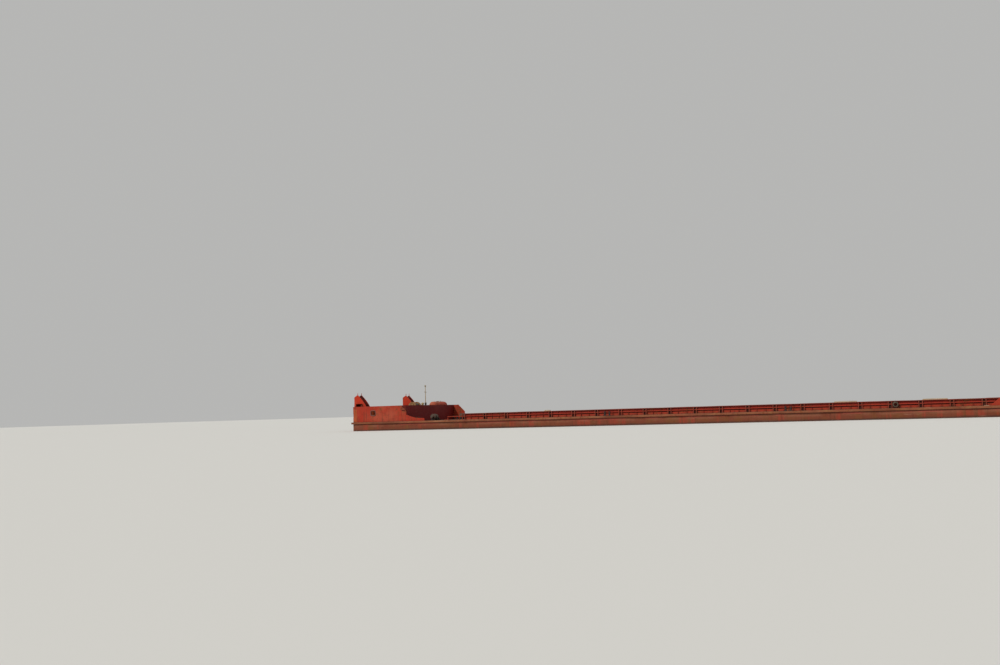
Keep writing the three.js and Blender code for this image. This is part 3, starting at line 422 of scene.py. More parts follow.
def coaming_finish():
    """Coaming paint: a dark top rail and paler posts, with painted highlights on the rail's top and the
    stringer, painted shadows under the rail and the stringer, and painted shade between paired posts.
    """
    f = Finish("coaming_side_red")
    shifted = f.math("ADD", f.x, 0.5 * BAY - COAMING_AFT)
    along = f.math("FLOORED_MODULO", shifted, BAY)
    off_pair = f.math("ABSOLUTE", f.math("SUBTRACT", along, 0.5 * BAY))
    outward = f.math("ABSOLUTE", f.y)
    half = POST_PAIR / 2
    inside = f.ramp(off_pair, half - 0.003, half - 0.005)
    inside = f.times(inside, f.ramp(outward, COAMING_FACE + 0.012, COAMING_FACE + 0.008))
    on_post = f.band(off_pair, half - 0.0045, half - 0.004, half + 0.0045, half + 0.005)
    on_post = f.times(on_post, f.ramp(outward, COAMING_FACE + 0.001, COAMING_FACE + 0.003))
    on_coaming = f.ramp(f.x, COAMING_FORE + 0.05, COAMING_FORE + 0.04)
    outer = f.times(f.ramp(outward, COAMING_FACE - 0.008, COAMING_FACE - 0.006), on_coaming)
    foot = f.times(f.ramp(f.z, STRINGER_FOOT - 0.012, STRINGER_FOOT - 0.016), outer)
    paint = f.mix(COAMING_RED, FOOT_ORANGE, foot, 0.85)
    # Painted shadow: a dark band on the plate under the stringer.
    below = f.ramp(f.z, STRINGER_FOOT + 0.0003, STRINGER_FOOT - 0.0003)
    paint = f.mix(paint, PAINTED_SHADE_DARK, below, f.ramp(foot, 0.9, 0.1), outer, 0.8)
    # Painted highlight: the stringer's face is made paler.
    on_stringer = f.band(f.z, STRINGER_FOOT, STRINGER_FOOT + 0.001, STRINGER_TOP, STRINGER_TOP + 0.001)
    proud = f.ramp(outward, COAMING_FACE + 0.008, COAMING_FACE + 0.01)
    paint = f.mix(paint, STRINGER_HIGHLIGHT, on_stringer, proud, 0.7)
    rail_foot = COAMING_TOP - RAIL_HEIGHT
    # Painted shadow: a dark band on the plate just under the rail.
    rail_shadow = f.band(f.z, rail_foot - 0.009, rail_foot - 0.006, rail_foot - 0.0005, rail_foot)
    paint = f.mix(paint, RAIL_DARK, rail_shadow, outer, 0.6)
    paint = f.mix(paint, POST_PINK, on_post, 0.85)
    # Painted shade: the gap between the posts of each pair is darkened.
    paint = f.mix(paint, PAINTED_SHADE_DARK, inside, 0.9)
    paint = f.mix(paint, RAIL_DARK, f.ramp(f.z, rail_foot - 0.0005, rail_foot + 0.0005), on_coaming)
    # Painted highlight: the top of the rail is made paler.
    rail_top_highlight = f.ramp(f.z, COAMING_TOP - 0.0045, COAMING_TOP - 0.003)
    paint = f.mix(paint, POST_PINK, rail_top_highlight, on_coaming, 0.75)
    faded = f.mix(paint, COAMING_FADED, 0.4)
    return weathered(f, paint, faded, rust=0.5, streaks=0.45, dust=0.5, fade=0.4, grime=0.85)


def fender_finish():
    """Tan dust and scraped paint on the fender band; black side bollards above it."""
    f = Finish("fender_tan")
    scrapes = f.ramp(f.noise(24, 8, 0.7, (0.16, 1, 1.6), 6.6), 0.52, 0.7)
    paint = f.mix(TAN, SCRAPED_TAN, scrapes, 0.7)
    red = f.ramp(f.noise(5, 7, 0.65, (1, 1, 2), 2.6), 0.5, 0.66)
    paint = f.mix(paint, FENDER_RED, red, 0.65)
    ochre = f.ramp(f.noise(8, 7, 0.65, (1, 1, 2), 7.4), 0.54, 0.7)
    paint = f.mix(paint, FENDER_OCHRE, ochre, 0.6)
    paint = f.mix(paint, BLACK, f.ramp(f.z, FENDER_TOP + 0.001, FENDER_TOP + 0.002))
    faded = f.mix(paint, TAN_DARK, 0.6)
    return weathered(f, paint, faded, rust=0.6, streaks=0.4, dust=0.35, fade=0.6, grime=0.5)


def hull_finish():
    """Hull paint: plates in three courses, vertical brighter bars and rust runs, dark stains at the water,
    and a painted shadow under the fender.
    """
    f = Finish("hull_side_paint")
    tint, seams = f.plates(f.x, f.z, 0.584, 0.108, 0.0011)
    f.colour = f.mix(HULL_RED, HULL_FADED, tint, 0.35)
    patches = f.ramp(f.noise(6, 6, 0.6, (1, 1, 0.5), 2.2), 0.42, 0.66)
    f.coat(HULL_OCHRE, patches, 0.7)
    bars = f.ramp(f.noise(9, 3, 0.5, (1, 1, 0.05), 4.4), 0.56, 0.64)
    f.coat(HULL_BRIGHT, bars, 0.65)
    runs = f.ramp(f.noise(52, 6, 0.62, (1, 1, 0.06), 8.1), 0.5, 0.72)
    f.coat(RUST, runs, f.upright, 0.6)
    dark_runs = f.ramp(f.noise(37, 6, 0.62, (1, 1, 0.05), 1.1), 0.56, 0.76)
    f.coat(DARK_RUST_AND_SHADE, dark_runs, 0.55)
    scrapes = f.ramp(f.noise(30, 8, 0.7, (0.14, 0.14, 1.6), 6.6), 0.6, 0.72)
    f.coat(SCRAPED_HULL, scrapes, 0.45)
    spots = f.ramp(f.noise(26, 10, 0.74, shift=3.7), 0.58, 0.66)
    rust_colour = f.mix(RUST, RUST_BRIGHT, f.ramp(f.noise(80, 4), 0.4, 0.7))
    f.coat(rust_colour, spots, 0.7)
    upper = f.ramp(f.z, WATERLINE + 0.035, WATERLINE + 0.07)
    upper = f.times(upper, f.ramp(f.noise(4, 5, 0.6, shift=5.5), 0.35, 0.6))
    f.coat(HULL_PALE, upper, 0.55)
    strip = f.ramp(f.z, FENDER_FOOT - 0.025, FENDER_FOOT - 0.02)
    strip = f.times(strip, f.ramp(f.noise(3.7, 6, 0.6, (1, 1, 0.3), 9.1), 0.4, 0.6))
    f.coat(HULL_PINK, strip, 0.7)
    # Painted shadow: a dark line on the hull just under the fender.
    f.coat(PAINTED_SHADE_DARK, f.ramp(f.z, FENDER_FOOT - 0.008, FENDER_FOOT - 0.006), 0.85)
    wave = f.times(f.math("SUBTRACT", f.noise(3.3, 5), 0.5), 0.03)
    level = f.math("ADD", f.z, wave)
    f.coat(WATER_GRIME, f.ramp(level, WATERLINE + 0.031, WATERLINE + 0.005), 0.75)
    f.coat(ANTIFOULING, f.ramp(f.z, WATERLINE - 0.004, WATERLINE - 0.008))
    f.coat(DARK_RUST_AND_SHADE, seams, 0.45)
    roughness = f.math("ADD", f.times(f.noise(20, 6, 0.6), 0.4), 0.5)
    normal = f.bump(f.noise(110, 6, 0.7), 0.0008, 0.5)
    normal = f.bump(seams, 0.0009, 0.9, normal)
    normal = f.bump(spots, 0.0006, 0.5, normal)
    return f.finish(roughness, normal, specular=0.18)


def deck_finish(name, base, worn, coal=0.0, width=0.61, height=0.25):
    """Deck plating: tinted plates with welded seams, worn and rusty, stained by the cargo."""
    f = Finish(name)
    tint, seams = f.plates(f.x, f.y, width, height, 0.0016)
    f.colour = f.mix(base, worn, tint, 0.55)
    patches = f.ramp(f.noise(3.1, 8, 0.62), 0.4, 0.68)
    f.coat(RUST, patches, 0.6)
    stains = f.ramp(f.noise(9, 9, 0.68, shift=4.2), 0.5, 0.72)
    f.coat(DARK_RUST_AND_SHADE, stains, 0.65)
    spots = f.ramp(f.noise(34, 9, 0.72, shift=1.9), 0.57, 0.68)
    f.coat(RUST_BRIGHT, spots, 0.6)
    tracks = f.ramp(f.noise(14, 6, 0.65, (0.12, 1, 1), 6.1), 0.55, 0.75)
    f.coat(DUST, tracks, 0.35)
    if coal:
        dust = f.ramp(f.noise(2.2, 9, 0.66, (0.6, 1, 1), 8.8), 0.62 - 0.3 * coal, 0.8 - 0.3 * coal)
        f.coat(COAL_DUST, dust, 0.85)
    on_hatch = f.ramp(f.z, RAISED_DECK + 0.004, RAISED_DECK + 0.006)
    f.coat(f.mix(LID_RED, RUST, stains), on_hatch)
    on_vent = f.ramp(f.z, RAISED_DECK + 0.048, RAISED_DECK + 0.052)
    f.coat(f.mix(CREAM, RUST, stains), on_vent)
    # Painted shade, with grime: the corners are darkened.
    f.coat(DARK_RUST_AND_SHADE, f.crevices(0.05), 0.6)
    f.coat(DARK_RUST_AND_SHADE, seams, 0.6)
    roughness = f.math("ADD", f.times(f.noise(12, 6, 0.6), 0.35), 0.55)
    normal = f.bump(f.noise(90, 7, 0.7), 0.0009, 0.6)
    normal = f.bump(seams, 0.0012, 0.8, normal)
    return f.finish(roughness, normal)


def bare_metal(name, base, rust, share=0.5, metallic=0.4, roughness=0.55, scale=40):
    """Iron and steel fittings: bare in patches and rusty in the rest, with spots of bright rust."""
    f = Finish(name)
    patches = f.ramp(f.noise(scale, 9, 0.7), 0.62 - 0.25 * share, 0.78 - 0.25 * share)
    f.colour = f.mix(base, rust, patches)
    bright = f.ramp(f.noise(scale * 3.1, 5, 0.7, shift=2.7), 0.62, 0.8)
    f.coat(RUST_BRIGHT, bright, 0.45)
    # Painted shade, with grime: the corners are darkened.
    f.coat(DARK_RUST_AND_SHADE, f.crevices(0.02), 0.7)
    f.coat(DUST, f.facing_up, 0.18)
    shine = f.math("SUBTRACT", metallic, f.times(patches, metallic))
    rough = f.math("ADD", roughness, f.times(patches, 0.3))
    normal = f.bump(f.noise(scale * 5, 6, 0.7), 0.0005, 0.6)
    return f.finish(rough, normal, metallic=shine, specular=0.25)


def wood_finish():
    """Weathered planks with long grain along X."""
    f = Finish("weathered_planks")
    grain = f.noise(60, 8, 0.65, (0.08, 1, 1))
    f.colour = f.mix(WOOD, WOOD_DARK, f.ramp(grain, 0.45, 0.7))
    grey = f.ramp(f.noise(9, 5, 0.6, (0.4, 1, 1), 3.3), 0.45, 0.7)
    f.coat(CREAM, grey, 0.5)
    f.coat(WOOD_SHADE, f.crevices(0.02), 0.7)
    normal = f.bump(grain, 0.0012, 0.7)
    return f.finish(0.86, normal, specular=0.25)


def rubber_finish():
    f = Finish("worn_rubber")
    scuffs = f.ramp(f.noise(45, 8, 0.7), 0.45, 0.75)
    f.colour = f.mix(RUBBER, RUBBER_DUST, scuffs, 0.8)
    normal = f.bump(f.noise(200, 6, 0.7), 0.0005, 0.6)
    return f.finish(0.82, normal, specular=0.3)


def lamp_finish():
    """Pale ribbed lamp glass."""
    f = Finish("lamp_glass")
    ribs = f.noise(400, 2, 0.5, (0.02, 0.02, 1))
    f.colour = f.mix(LAMP_GLASS, DUST, f.noise(60, 6), 0.5)
    return f.finish(0.18, f.bump(ribs, 0.0006, 0.5), specular=0.6)


def floor_finish():
    material = bpy.data.materials.new("studio_floor")
    material.use_nodes = True
    shader = material.node_tree.nodes["Principled BSDF"]
    shader.inputs["Base Color"].default_value = FLOOR_PALE
    shader.inputs["Roughness"].default_value = 0.75
    return material


MATERIALS = {
    "hull_paint": hull_finish(),
    "bulwark_paint": bulwark_finish(),
    "knee_paint": knee_finish(),
    "coaming_paint": coaming_finish(),
    "wall_paint": painted_steel(
        "wall_maroon", MAROON, MAROON_FADED, rust=0.1, streaks=0.2, dust=0.1, speckle=0.05
    ),
    "fender_paint": fender_finish(),
    "deck_paint": deck_finish("deck_plating", DECK_BROWN, DECK_GREY),
    "cargo_deck": deck_finish("cargo_deck_plating", DECK_BROWN, CARGO_BROWN, 0.75),
    "lid_paint": painted_steel("lid_red", LID_RED, COAMING_FADED, rust=0.7, streaks=0.3),
    "black_fittings": bare_metal("black_fittings", BLACK, RUST, 0.45, 0.2, 0.6),
    "drum_steel": bare_metal("drum_steel", STEEL, RUST, 0.55, 0.5, 0.5),
    "wire_rope": bare_metal("wire_rope", WIRE, DARK_RUST_AND_SHADE, 0.5, 0.4, 0.6, 90),
    "windlass_paint": painted_steel(
        "windlass_tan", WINDLASS_TAN, WINDLASS_PALE, rust=0.95, streaks=0.7, grime=0.9
    ),
    "mast_paint": painted_steel(
        "mast_cream", CREAM, WHITE_PAINT, rust=0.5, streaks=0.4, dust=0.1, grime=0.5
    ),
    "anchor_iron": bare_metal("anchor_iron", IRON, RUST, 0.8, 0.2, 0.7),
    "boards": wood_finish(),
    "tyre": rubber_finish(),
    "bracket_paint": painted_steel("bracket_pink", BRACKET_PINK, RED_FADED, rust=0.5, speckle=0.1),
    "tank_red": painted_steel("tank_red", TANK_RED, TANK_FADED, rust=0.5, streaks=0.7),
    "rim_steel": bare_metal("rim_steel", RIM_GREY, RUST, 0.4, 0.2, 0.6),
    "lamp_glass": lamp_finish(),
}


# Mesh helpers


def around(x, y, radius, count, shift=0.0):
    """Places evenly round a circle, as pairs."""
    turns = [2 * math.pi * (i + shift) / count for i in range(count)]
    return [(x + radius * math.cos(turn), y + radius * math.sin(turn)) for turn in turns]


def smooth_group():
    """Geometry nodes that drop the stored normals and shade smooth, but for edges over the angle."""
    group = bpy.data.node_groups.new("smooth_by_angle", "GeometryNodeTree")
    group.interface.new_socket("Geometry", in_out="INPUT", socket_type="NodeSocketGeometry")
    group.interface.new_socket("Geometry", in_out="OUTPUT", socket_type="NodeSocketGeometry")
    nodes, links = group.nodes, group.links
    start = nodes.new("NodeGroupInput")
    end = nodes.new("NodeGroupOutput")
    drop = nodes.new("GeometryNodeRemoveAttribute")
    drop.inputs["Name"].default_value = "custom_normal"
    faces = nodes.new("GeometryNodeSetShadeSmooth")
    faces.domain = "FACE"
    faces.inputs["Shade Smooth"].default_value = True
    angle = nodes.new("GeometryNodeInputMeshEdgeAngle")
    limit = nodes.new("FunctionNodeCompare")
    limit.data_type = "FLOAT"
    limit.operation = "LESS_THAN"
    limit.inputs["B"].default_value = math.radians(38)
    edges = nodes.new("GeometryNodeSetShadeSmooth")
    edges.domain = "EDGE"
    links.new(start.outputs[0], drop.inputs["Geometry"])
    links.new(drop.outputs[0], faces.inputs["Geometry"])
    links.new(faces.outputs[0], edges.inputs["Geometry"])
    links.new(angle.outputs["Unsigned Angle"], limit.inputs["A"])
    links.new(limit.outputs[0], edges.inputs["Shade Smooth"])
    links.new(edges.outputs[0], end.inputs[0])
    return group


SMOOTH = smooth_group()


def soften(obj, bevel, weld=False, segments=2):
    """Rounds the hard edges by a small bevel and shades the result smooth."""
    if weld:
        welded = obj.modifiers.new("weld", "WELD")
        welded.merge_threshold = 1e-5
        flat = obj.modifiers.new("flat_faces", "DECIMATE")
        flat.decimate_type = "DISSOLVE"
        flat.angle_limit = math.radians(0.3)
    if bevel:
        rounded = obj.modifiers.new("bevel", "BEVEL")
        rounded.width = bevel
        rounded.segments = segments
        rounded.limit_method = "ANGLE"
        rounded.angle_limit = math.radians(38)
        rounded.miter_outer = "MITER_ARC"
    smooth = obj.modifiers.new("smooth", "NODES")
    smooth.node_group = SMOOTH
    weighted = obj.modifiers.new("weighted", "WEIGHTED_NORMAL")
    weighted.keep_sharp = True


def add_object(name, data):
    obj = bpy.data.objects.new(name, data)
    bpy.context.scene.collection.objects.link(obj)
    return obj


def make_piece(name, bm, slot, body="root", replaces=(), material=None, bevel=0.0, segments=2):
    """Turns a bmesh into a piece that rides on a body and takes its finish from a slot."""
    bmesh.ops.recalc_face_normals(bm, faces=bm.faces)
    mesh = bpy.data.meshes.new(name)
    bm.to_mesh(mesh)
    bm.free()
    obj = add_object(name, mesh)
    mesh.materials.append(MATERIALS[material or slot])
    soften(obj, bevel, segments=segments)
    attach(obj, body)
    if replaces:
        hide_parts(*replaces)
    return obj


def join_rings(bm, rings, closed=False):
    """Faces from ring to ring; the ends are capped unless the last ring joins the first."""
    pairs = list(zip(rings, rings[1:])) + ([(rings[-1], rings[0])] if closed else [])
    for first, second in pairs:
        for i, j in zip(range(len(first)), [*range(1, len(first)), 0]):
            bm.faces.new((first[i], first[j], second[j], second[i]))
    if not closed:
        bm.faces.new(rings[0])
        bm.faces.new(rings[-1])


def add_prism(bm, outline, low, high, to_space):
    """A prism of a closed outline; to_space turns its two numbers and a height into a place."""
    join_rings(bm, [[bm.verts.new(to_space(a, b, height)) for a, b in outline] for height in (low, high)])


def in_plan(a, b, height):
    return (a, b, height)


def add_box(bm, xs, ys, zs):
    outline = [(xs[0], ys[0]), (xs[1], ys[0]), (xs[1], ys[1]), (xs[0], ys[1])]
    add_prism(bm, outline, zs[0], zs[1], in_plan)


def turn_to(direction):
    """The rotation that turns +Z to the direction."""
    return Vector(direction).to_track_quat("Z", "Y").to_matrix().to_4x4()


def add_turned(bm, profile, centre, direction=(0, 0, 1), sides=24):
    """A profile of (radius, height) pairs turned about the direction; it closes on the axis."""
    place = Matrix.Translation(centre) @ turn_to(direction)
    rings = []
    for radius, height in profile:
        if radius < 1e-6:
            rings.append([bm.verts.new(place @ Vector((0, 0, height)))])
            continue
        rings.append([bm.verts.new(place @ Vector((*spot, height))) for spot in around(0, 0, radius, sides)])
    for first, second in zip(rings, rings[1:]):
        for i in range(sides):
            j = (i + 1) % sides
            spots = ((first, i), (first, j), (second, j), (second, i))
            corners = [ring[k % len(ring)] for ring, k in spots]
            kept = [corner for k, corner in enumerate(corners) if corner not in corners[:k]]
            if len(kept) > 2:
                bm.faces.new(kept)
    for ring in (rings[0], rings[-1]):
        if len(ring) > 2:
            bm.faces.new(ring)


def disc(radius, low, high):
    """The profile of a plain round disc or bar."""
    return ((0, low), (radius, low), (radius, high), (0, high))


def add_rod(bm, start, end, radius, sides=12):
    start, end = Vector(start), Vector(end)
    add_turned(bm, disc(radius, 0, (end - start).length), start, end - start, sides)


def add_tube(bm, points, radius, sides=8, closed=False):
    """A round tube along the points, turned as little as the bends allow."""
    points = [Vector(point) for point in points]
    count = len(points)
    tangents = []
    for i, point in enumerate(points):
        before = points[i - 1] if closed or i else point
        after = points[(i + 1) % count] if closed or i + 1 < count else point
        tangents.append((after - before).normalized())
    across = tangents[0].orthogonal().normalized()
    rings = []
    for i, (point, tangent) in enumerate(zip(points, tangents)):
        if i:
            across = tangents[i - 1].rotation_difference(tangent) @ across
        up = tangent.cross(across)
        spots = around(0, 0, radius, sides)
        rings.append([bm.verts.new(point + a * across + b * up) for a, b in spots])
    join_rings(bm, rings, closed)


def clamp(value, low=0.0, high=1.0):
    return max(low, min(high, value))


def field(x, y, z):
    """A smooth field of about -1 to 1, the same at each run."""
    return noise.noise(Vector((x, y, z)))


# Hull: stations along X, each a half section from the deck down the side and along the bottom


def half_breadth(x):
    bow = HULL_END - BOW_CORNER
    stern = -HULL_END + STERN_CORNER
    if x > bow:
        return HALF_BEAM - BOW_CORNER + math.sqrt(max(BOW_CORNER ** 2 - (x - bow) ** 2, 0))
    if x < stern:
        return HALF_BEAM - STERN_CORNER + math.sqrt(max(STERN_CORNER ** 2 - (stern - x) ** 2, 0))
    return HALF_BEAM


def curve_share(x, start, pull, end):
    """How far along a quadratic curve from start by pull to end the place x is."""
    a = start - 2 * pull + end
    b = 2 * (pull - start)
    c = start - x
    return clamp((-b + math.sqrt(max(b * b - 4 * a * c, 0))) / (2 * a))


def bottom_height(x):
    if x < STERN_RAKE[2]:
        return TRANSOM_FOOT * (1 - curve_share(x, *STERN_RAKE)) ** 2
    if x > BOW_RAKE[0]:
        return BOW_RAKE_TOP * curve_share(x, *BOW_RAKE) ** 2
    return 0.0


def side_dish(x, z, side):
    """How far the plating is pushed in: a little between frames, more in old dents."""
    weight = clamp((z - BILGE) / 0.04) * clamp((FENDER_FOOT + 0.015 - z) / 0.05)
    between = math.sin(math.pi * x / FRAME_PITCH) ** 2
    dents = field(x * 2.1, side * 9.3, z * 5.0)
    small = field(x * 6.7, side * 4.1, z * 13.0)
    return weight * (0.0013 * between + 0.009 * clamp(dents - 0.12) + 0.005 * clamp(small - 0.25))


def hull_stations():
    straight_end = HULL_END - BOW_CORNER
    step = FRAME_PITCH / 3
    count = round((straight_end + HULL_END - STERN_CORNER) / step)
    stern = [-HULL_END + STERN_CORNER * (1 - math.cos(math.pi / 2 * i / 4)) for i in range(4)]
    middle = [
        -HULL_END + STERN_CORNER + (straight_end + HULL_END - STERN_CORNER) * i / count
        for i in range(count)
    ]
    bow = [straight_end + BOW_CORNER * math.sin(math.pi / 2 * i / 20) for i in range(21)]
    return stern + middle + bow


def hull_half_section():
    """The full section from the middle of the deck down to the keel, as (half breadth, height)."""
    side_steps = 16
    heights = [DECK - GAP - (DECK - GAP - BILGE) * i / side_steps for i in range(side_steps + 1)]
    section = [(0.0, DECK - GAP), (HALF_BEAM * 0.5, DECK - GAP)]
    section += [(HALF_BEAM, z) for z in heights]
    for i in range(1, 8):
        turn = math.pi / 2 * i / 8
        section.append((HALF_BEAM - BILGE + BILGE * math.cos(turn), BILGE - BILGE * math.sin(turn)))
    section += [(y, 0.0) for y in (HALF_BEAM - BILGE, 0.55, 0.4, 0.25, 0.12, 0.0)]
    return section


def build_hull():
    bm = bmesh.new()
    section = hull_half_section()
    rings = []
    for x in hull_stations():
        half = half_breadth(x)
        foot = bottom_height(x)
        ring = []
        for side in (1, -1):
            points = section if side > 0 else section[-2:0:-1]
            for y, z in points:
                z = max(z, foot)
                y = min(y, half)
                if y > 0.3:
                    y -= side_dish(x, z, side)
                ring.append(bm.verts.new((x, side * y, z)))
        rings.append(ring)
    join_rings(bm, rings)
    bmesh.ops.remove_doubles(bm, verts=bm.verts, dist=2e-5)
    bmesh.ops.dissolve_degenerate(bm, edges=bm.edges, dist=1e-5)
    return make_piece("hull_shell", bm, "hull_paint", replaces=["hull"])


def deck_outline(inset):
    """The deck's edge in plan, a little inside the hull's side."""
    points = []
    for x in hull_stations():
        points.append((clamp(x, -HULL_END + inset, HULL_END - inset), -half_breadth(x) + inset))
    return points + [(x, -y) for x, y in reversed(points)]


def build_decks():
    bm = bmesh.new()
    add_prism(bm, deck_outline(0.0006), DECK - 0.004, DECK, in_plan)
    make_piece("main_deck_plating", bm, "deck_paint")
    bm = bmesh.new()
    half = COAMING_FACE - CARGO_INSET
    add_box(
        bm,
        (COAMING_AFT + CARGO_INSET, COAMING_FORE - CARGO_INSET),
        (-half, half),
        (DECK - 0.001, DECK + CARGO_PROUD),
    )
    make_piece("cargo_deck_plating", bm, "deck_paint", material="cargo_deck")


# CAD nodes: battered copies of thin plates, and softened edges on the rest


def battered_copy(node, slot, along, step, push, bevel=0.0008, **looks):
    """A copy of a node's mesh, cut in strips and pushed by a smooth field, that replaces the node."""
    bm = bmesh.new()
    bm.from_mesh(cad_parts[node].data)
    bmesh.ops.remove_doubles(bm, verts=bm.verts, dist=1e-5)
    low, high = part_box(node)
    for axis in along:
        normal = Vector((axis == 0, axis == 1, axis == 2))
        count = int((high[axis] - low[axis]) / step)
        for i in range(1, count):
            place = normal * (low[axis] + (high[axis] - low[axis]) * i / count)
            geometry = bm.verts[:] + bm.edges[:] + bm.faces[:]
            bmesh.ops.bisect_plane(bm, geom=geometry, plane_co=place, plane_no=normal, dist=1e-6)
    for vertex in bm.verts:
        vertex.co += Vector(push(vertex.co))
    return make_piece(node + "_worn", bm, slot, replaces=[node], bevel=bevel, **looks)


def side_push(point):
    """Dents in a side plate: inwards only, so that it stays within the beam."""
    side = 1 if point.y > 0 else -1
    wave = field(point.x * 5.1, side * 3.3, point.z * 9.0)
    small = field(point.x * 14.0, side * 7.7, point.z * 19.0)
    depth = 0.011 * clamp(wave) + 0.004 * clamp(small)
    return (0, -side * depth, 0)


def end_push(point):
    """Dents in a plate that lies across: towards mid length only."""
    end = 1 if point.x > 0 else -1
    wave = field(end * 6.1, point.y * 5.1, point.z * 9.0)
    return (-end * 0.009 * clamp(wave), 0, 0)


def panel_push(point):
    """The coaming's plate dished between its posts and ribs, and its rail a little wavy."""
    side = 1 if point.y > 0 else -1
    outward = abs(point.y) - COAMING_FACE
    if point.z > COAMING_TOP - 0.0075:
        wave = field(point.x * 3.7, side * 5.0, 0)
        return (0, 0, -0.0016 * clamp(0.3 + wave))
    if outward > 0.0005 or point.z < DECK + 0.004:
        return (0, 0, 0)
    between = math.sin(3 * math.pi * (point.x - COAMING_AFT) / BAY) ** 2
    upright = math.sin(math.pi * clamp((point.z - DECK) / (COAMING_TOP - DECK)))
    depth = 0.0012 + 0.004 * clamp(field(point.x * 1.9, side * 2.3, 0))
    return (0, -side * between * upright * depth, 0)


def knee_push(point):
    """Knocks in a push knee's plates."""
    wave = field(point.x * 9.0, point.y * 4.0, point.z * 9.0)
    return (0.003 * clamp(wave), 0.0015 * wave, 0)


def wall_push(point):
    """A transverse wall dished between its stays."""
    wave = field(point.x, point.y * 4.3, point.z * 8.0)
    edge = math.sin(math.pi * clamp((point.z - DECK) / (BULWARK_TOP - DECK)))
    return (0.004 * wave * edge, 0, 0)


# Details that are finer than the frame


BOLT = ((0, 0), (0.0024, 0), (0.0024, 0.0016), (0.0019, 0.0019), (0, 0.0019))


def add_bolt(bm, place, direction=(0, 0, 1)):
    add_turned(bm, BOLT, place, direction, sides=6)


def add_bolts(bm, xs, ys, z):
    """A bolt at every crossing of the lines."""
    for x in xs:
        for y in ys:
            add_bolt(bm, (x, y, z))


def rounded_rectangle(a, b, width, height, radius, steps=6):
    """Points round a rectangle with round corners."""
    points = []
    for quarter, (right, up) in enumerate(((1, 1), (-1, 1), (-1, -1), (1, -1))):
        middle_a = a + right * (width / 2 - radius)
        middle_b = b + up * (height / 2 - radius)
        for i in range(steps + 1):
            turn = math.pi / 2 * (quarter + i / steps)
            points.append((middle_a + radius * math.cos(turn), middle_b + radius * math.sin(turn)))
    return points


def build_gunwale(name, side):
    """The fender band, scraped and pushed in, and the doubled margin with its bollards."""
    bm = bmesh.new()
    start, end = -HULL_END + GAP, HULL_END - BOW_CORNER - GAP
    count = round((end - start) / 0.03)
    inner, outer = HALF_BEAM + GAP, HALF_BEAM + FENDER_DEPTH
    lip = 0.003
    section = [
        (inner, FENDER_FOOT, 0), (outer - lip, FENDER_FOOT, 1),
        (outer - lip * 0.3, FENDER_FOOT + lip * 0.3, 1), (outer, FENDER_FOOT + lip, 1),
        (outer, FENDER_FOOT + 0.01, 1), (outer, FENDER_FOOT + 0.02, 1),
        (outer, FENDER_TOP - lip, 1), (outer - lip * 0.3, FENDER_TOP - lip * 0.3, 1),
        (outer - lip, FENDER_TOP, 1), (inner, FENDER_TOP, 0),
    ]
    rings = []
    for i in range(count + 1):
        x = start + (end - start) * i / count
        ring = []
        for y, z, weight in section:
            dents = clamp(field(x * 3.1, side * 5.7, z * 21.0) - 0.1)
            nicks = clamp(field(x * 17.0, side * 8.9, z * 60.0) - 0.25)
            ring.append(bm.verts.new((x, side * (y - weight * (0.009 * dents + 0.005 * nicks)), z)))
        rings.append(ring)
    join_rings(bm, rings)
    ys = sorted((side * MARGIN_INNER, side * (HALF_BEAM + 0.004)))
    add_box(bm, MARGIN_XS, ys, (DECK + GAP, FENDER_TOP - 0.0002))
    make_piece(name + "_band", bm, "fender_paint", replaces=[name], bevel=0.0006)
    bm = bmesh.new()
    for x in SIDE_BOLLARDS:
        add_bollards(bm, x, side * SIDE_BOLLARD_Y, FENDER_TOP - GAP)
    make_piece(name + "_bollards", bm, "black_fittings", replaces=[name], bevel=0.0004)


def add_bollards(bm, x, y, z):
    """A pair of round bollards with rimmed heads on a bolted foot."""
    post = (
        (0, 0), (0.0135, 0), (0.0135, 0.0045), (0.0112, 0.007), (0.011, 0.043), (0.012, 0.046),
        (0.015, 0.0475), (0.015, 0.0505), (0.0135, 0.052), (0, 0.0525),
    )
    for end in (-1, 1):
        add_turned(bm, post, (x + end * 0.028, y, z + GAP), sides=28)
    add_box(bm, (x - 0.048, x + 0.048), (y - 0.018, y + 0.018), (z + GAP, z + 0.0043))
    add_bolts(bm, (x - 0.044, x, x + 0.044), (y - 0.014, y + 0.014), z + 0.0043)


def build_bollards():
    for name, (x, y, z) in BOLLARDS.items():
        for side_name, side in SIDES:
            bm = bmesh.new()
            add_bollards(bm, x, side * y, z)
            node = name + "_" + side_name
            make_piece(node + "_round", bm, "black_fittings", replaces=[node], bevel=0.0004)


def build_fairlead_rims():
    """Round bar on both faces of every fairlead."""
    bm = bmesh.new()
    width, height, corner = FAIRLEAD_SIZE
    for side in (1, -1):
        for middle in SIDE_FAIRLEADS:
            loop = rounded_rectangle(middle, FAIRLEAD_Z, width + 0.005, height + 0.005, corner + 0.0025)
            for y in (BULWARK_OUTER, BULWARK_OUTER - FAIRLEAD_FACE):
                add_tube(bm, [(a, side * y, b) for a, b in loop], 0.0045, closed=True)
        for middle in END_FAIRLEADS:
            loop = rounded_rectangle(middle, FAIRLEAD_Z, width + 0.005, height + 0.005, corner + 0.0025)
            for x in (HULL_END - GAP, HULL_END - GAP - FAIRLEAD_FACE):
                add_tube(bm, [(side * x, a, b) for a, b in loop], 0.0045, closed=True)
    make_piece("fairlead_rims", bm, "black_fittings", material="rim_steel")


def across(place):
    """Turns an outline's two numbers and a height into a place, with the height along Y."""
    x, y, z = place
    return lambda a, b, height: (x + a, y + height, z + b)


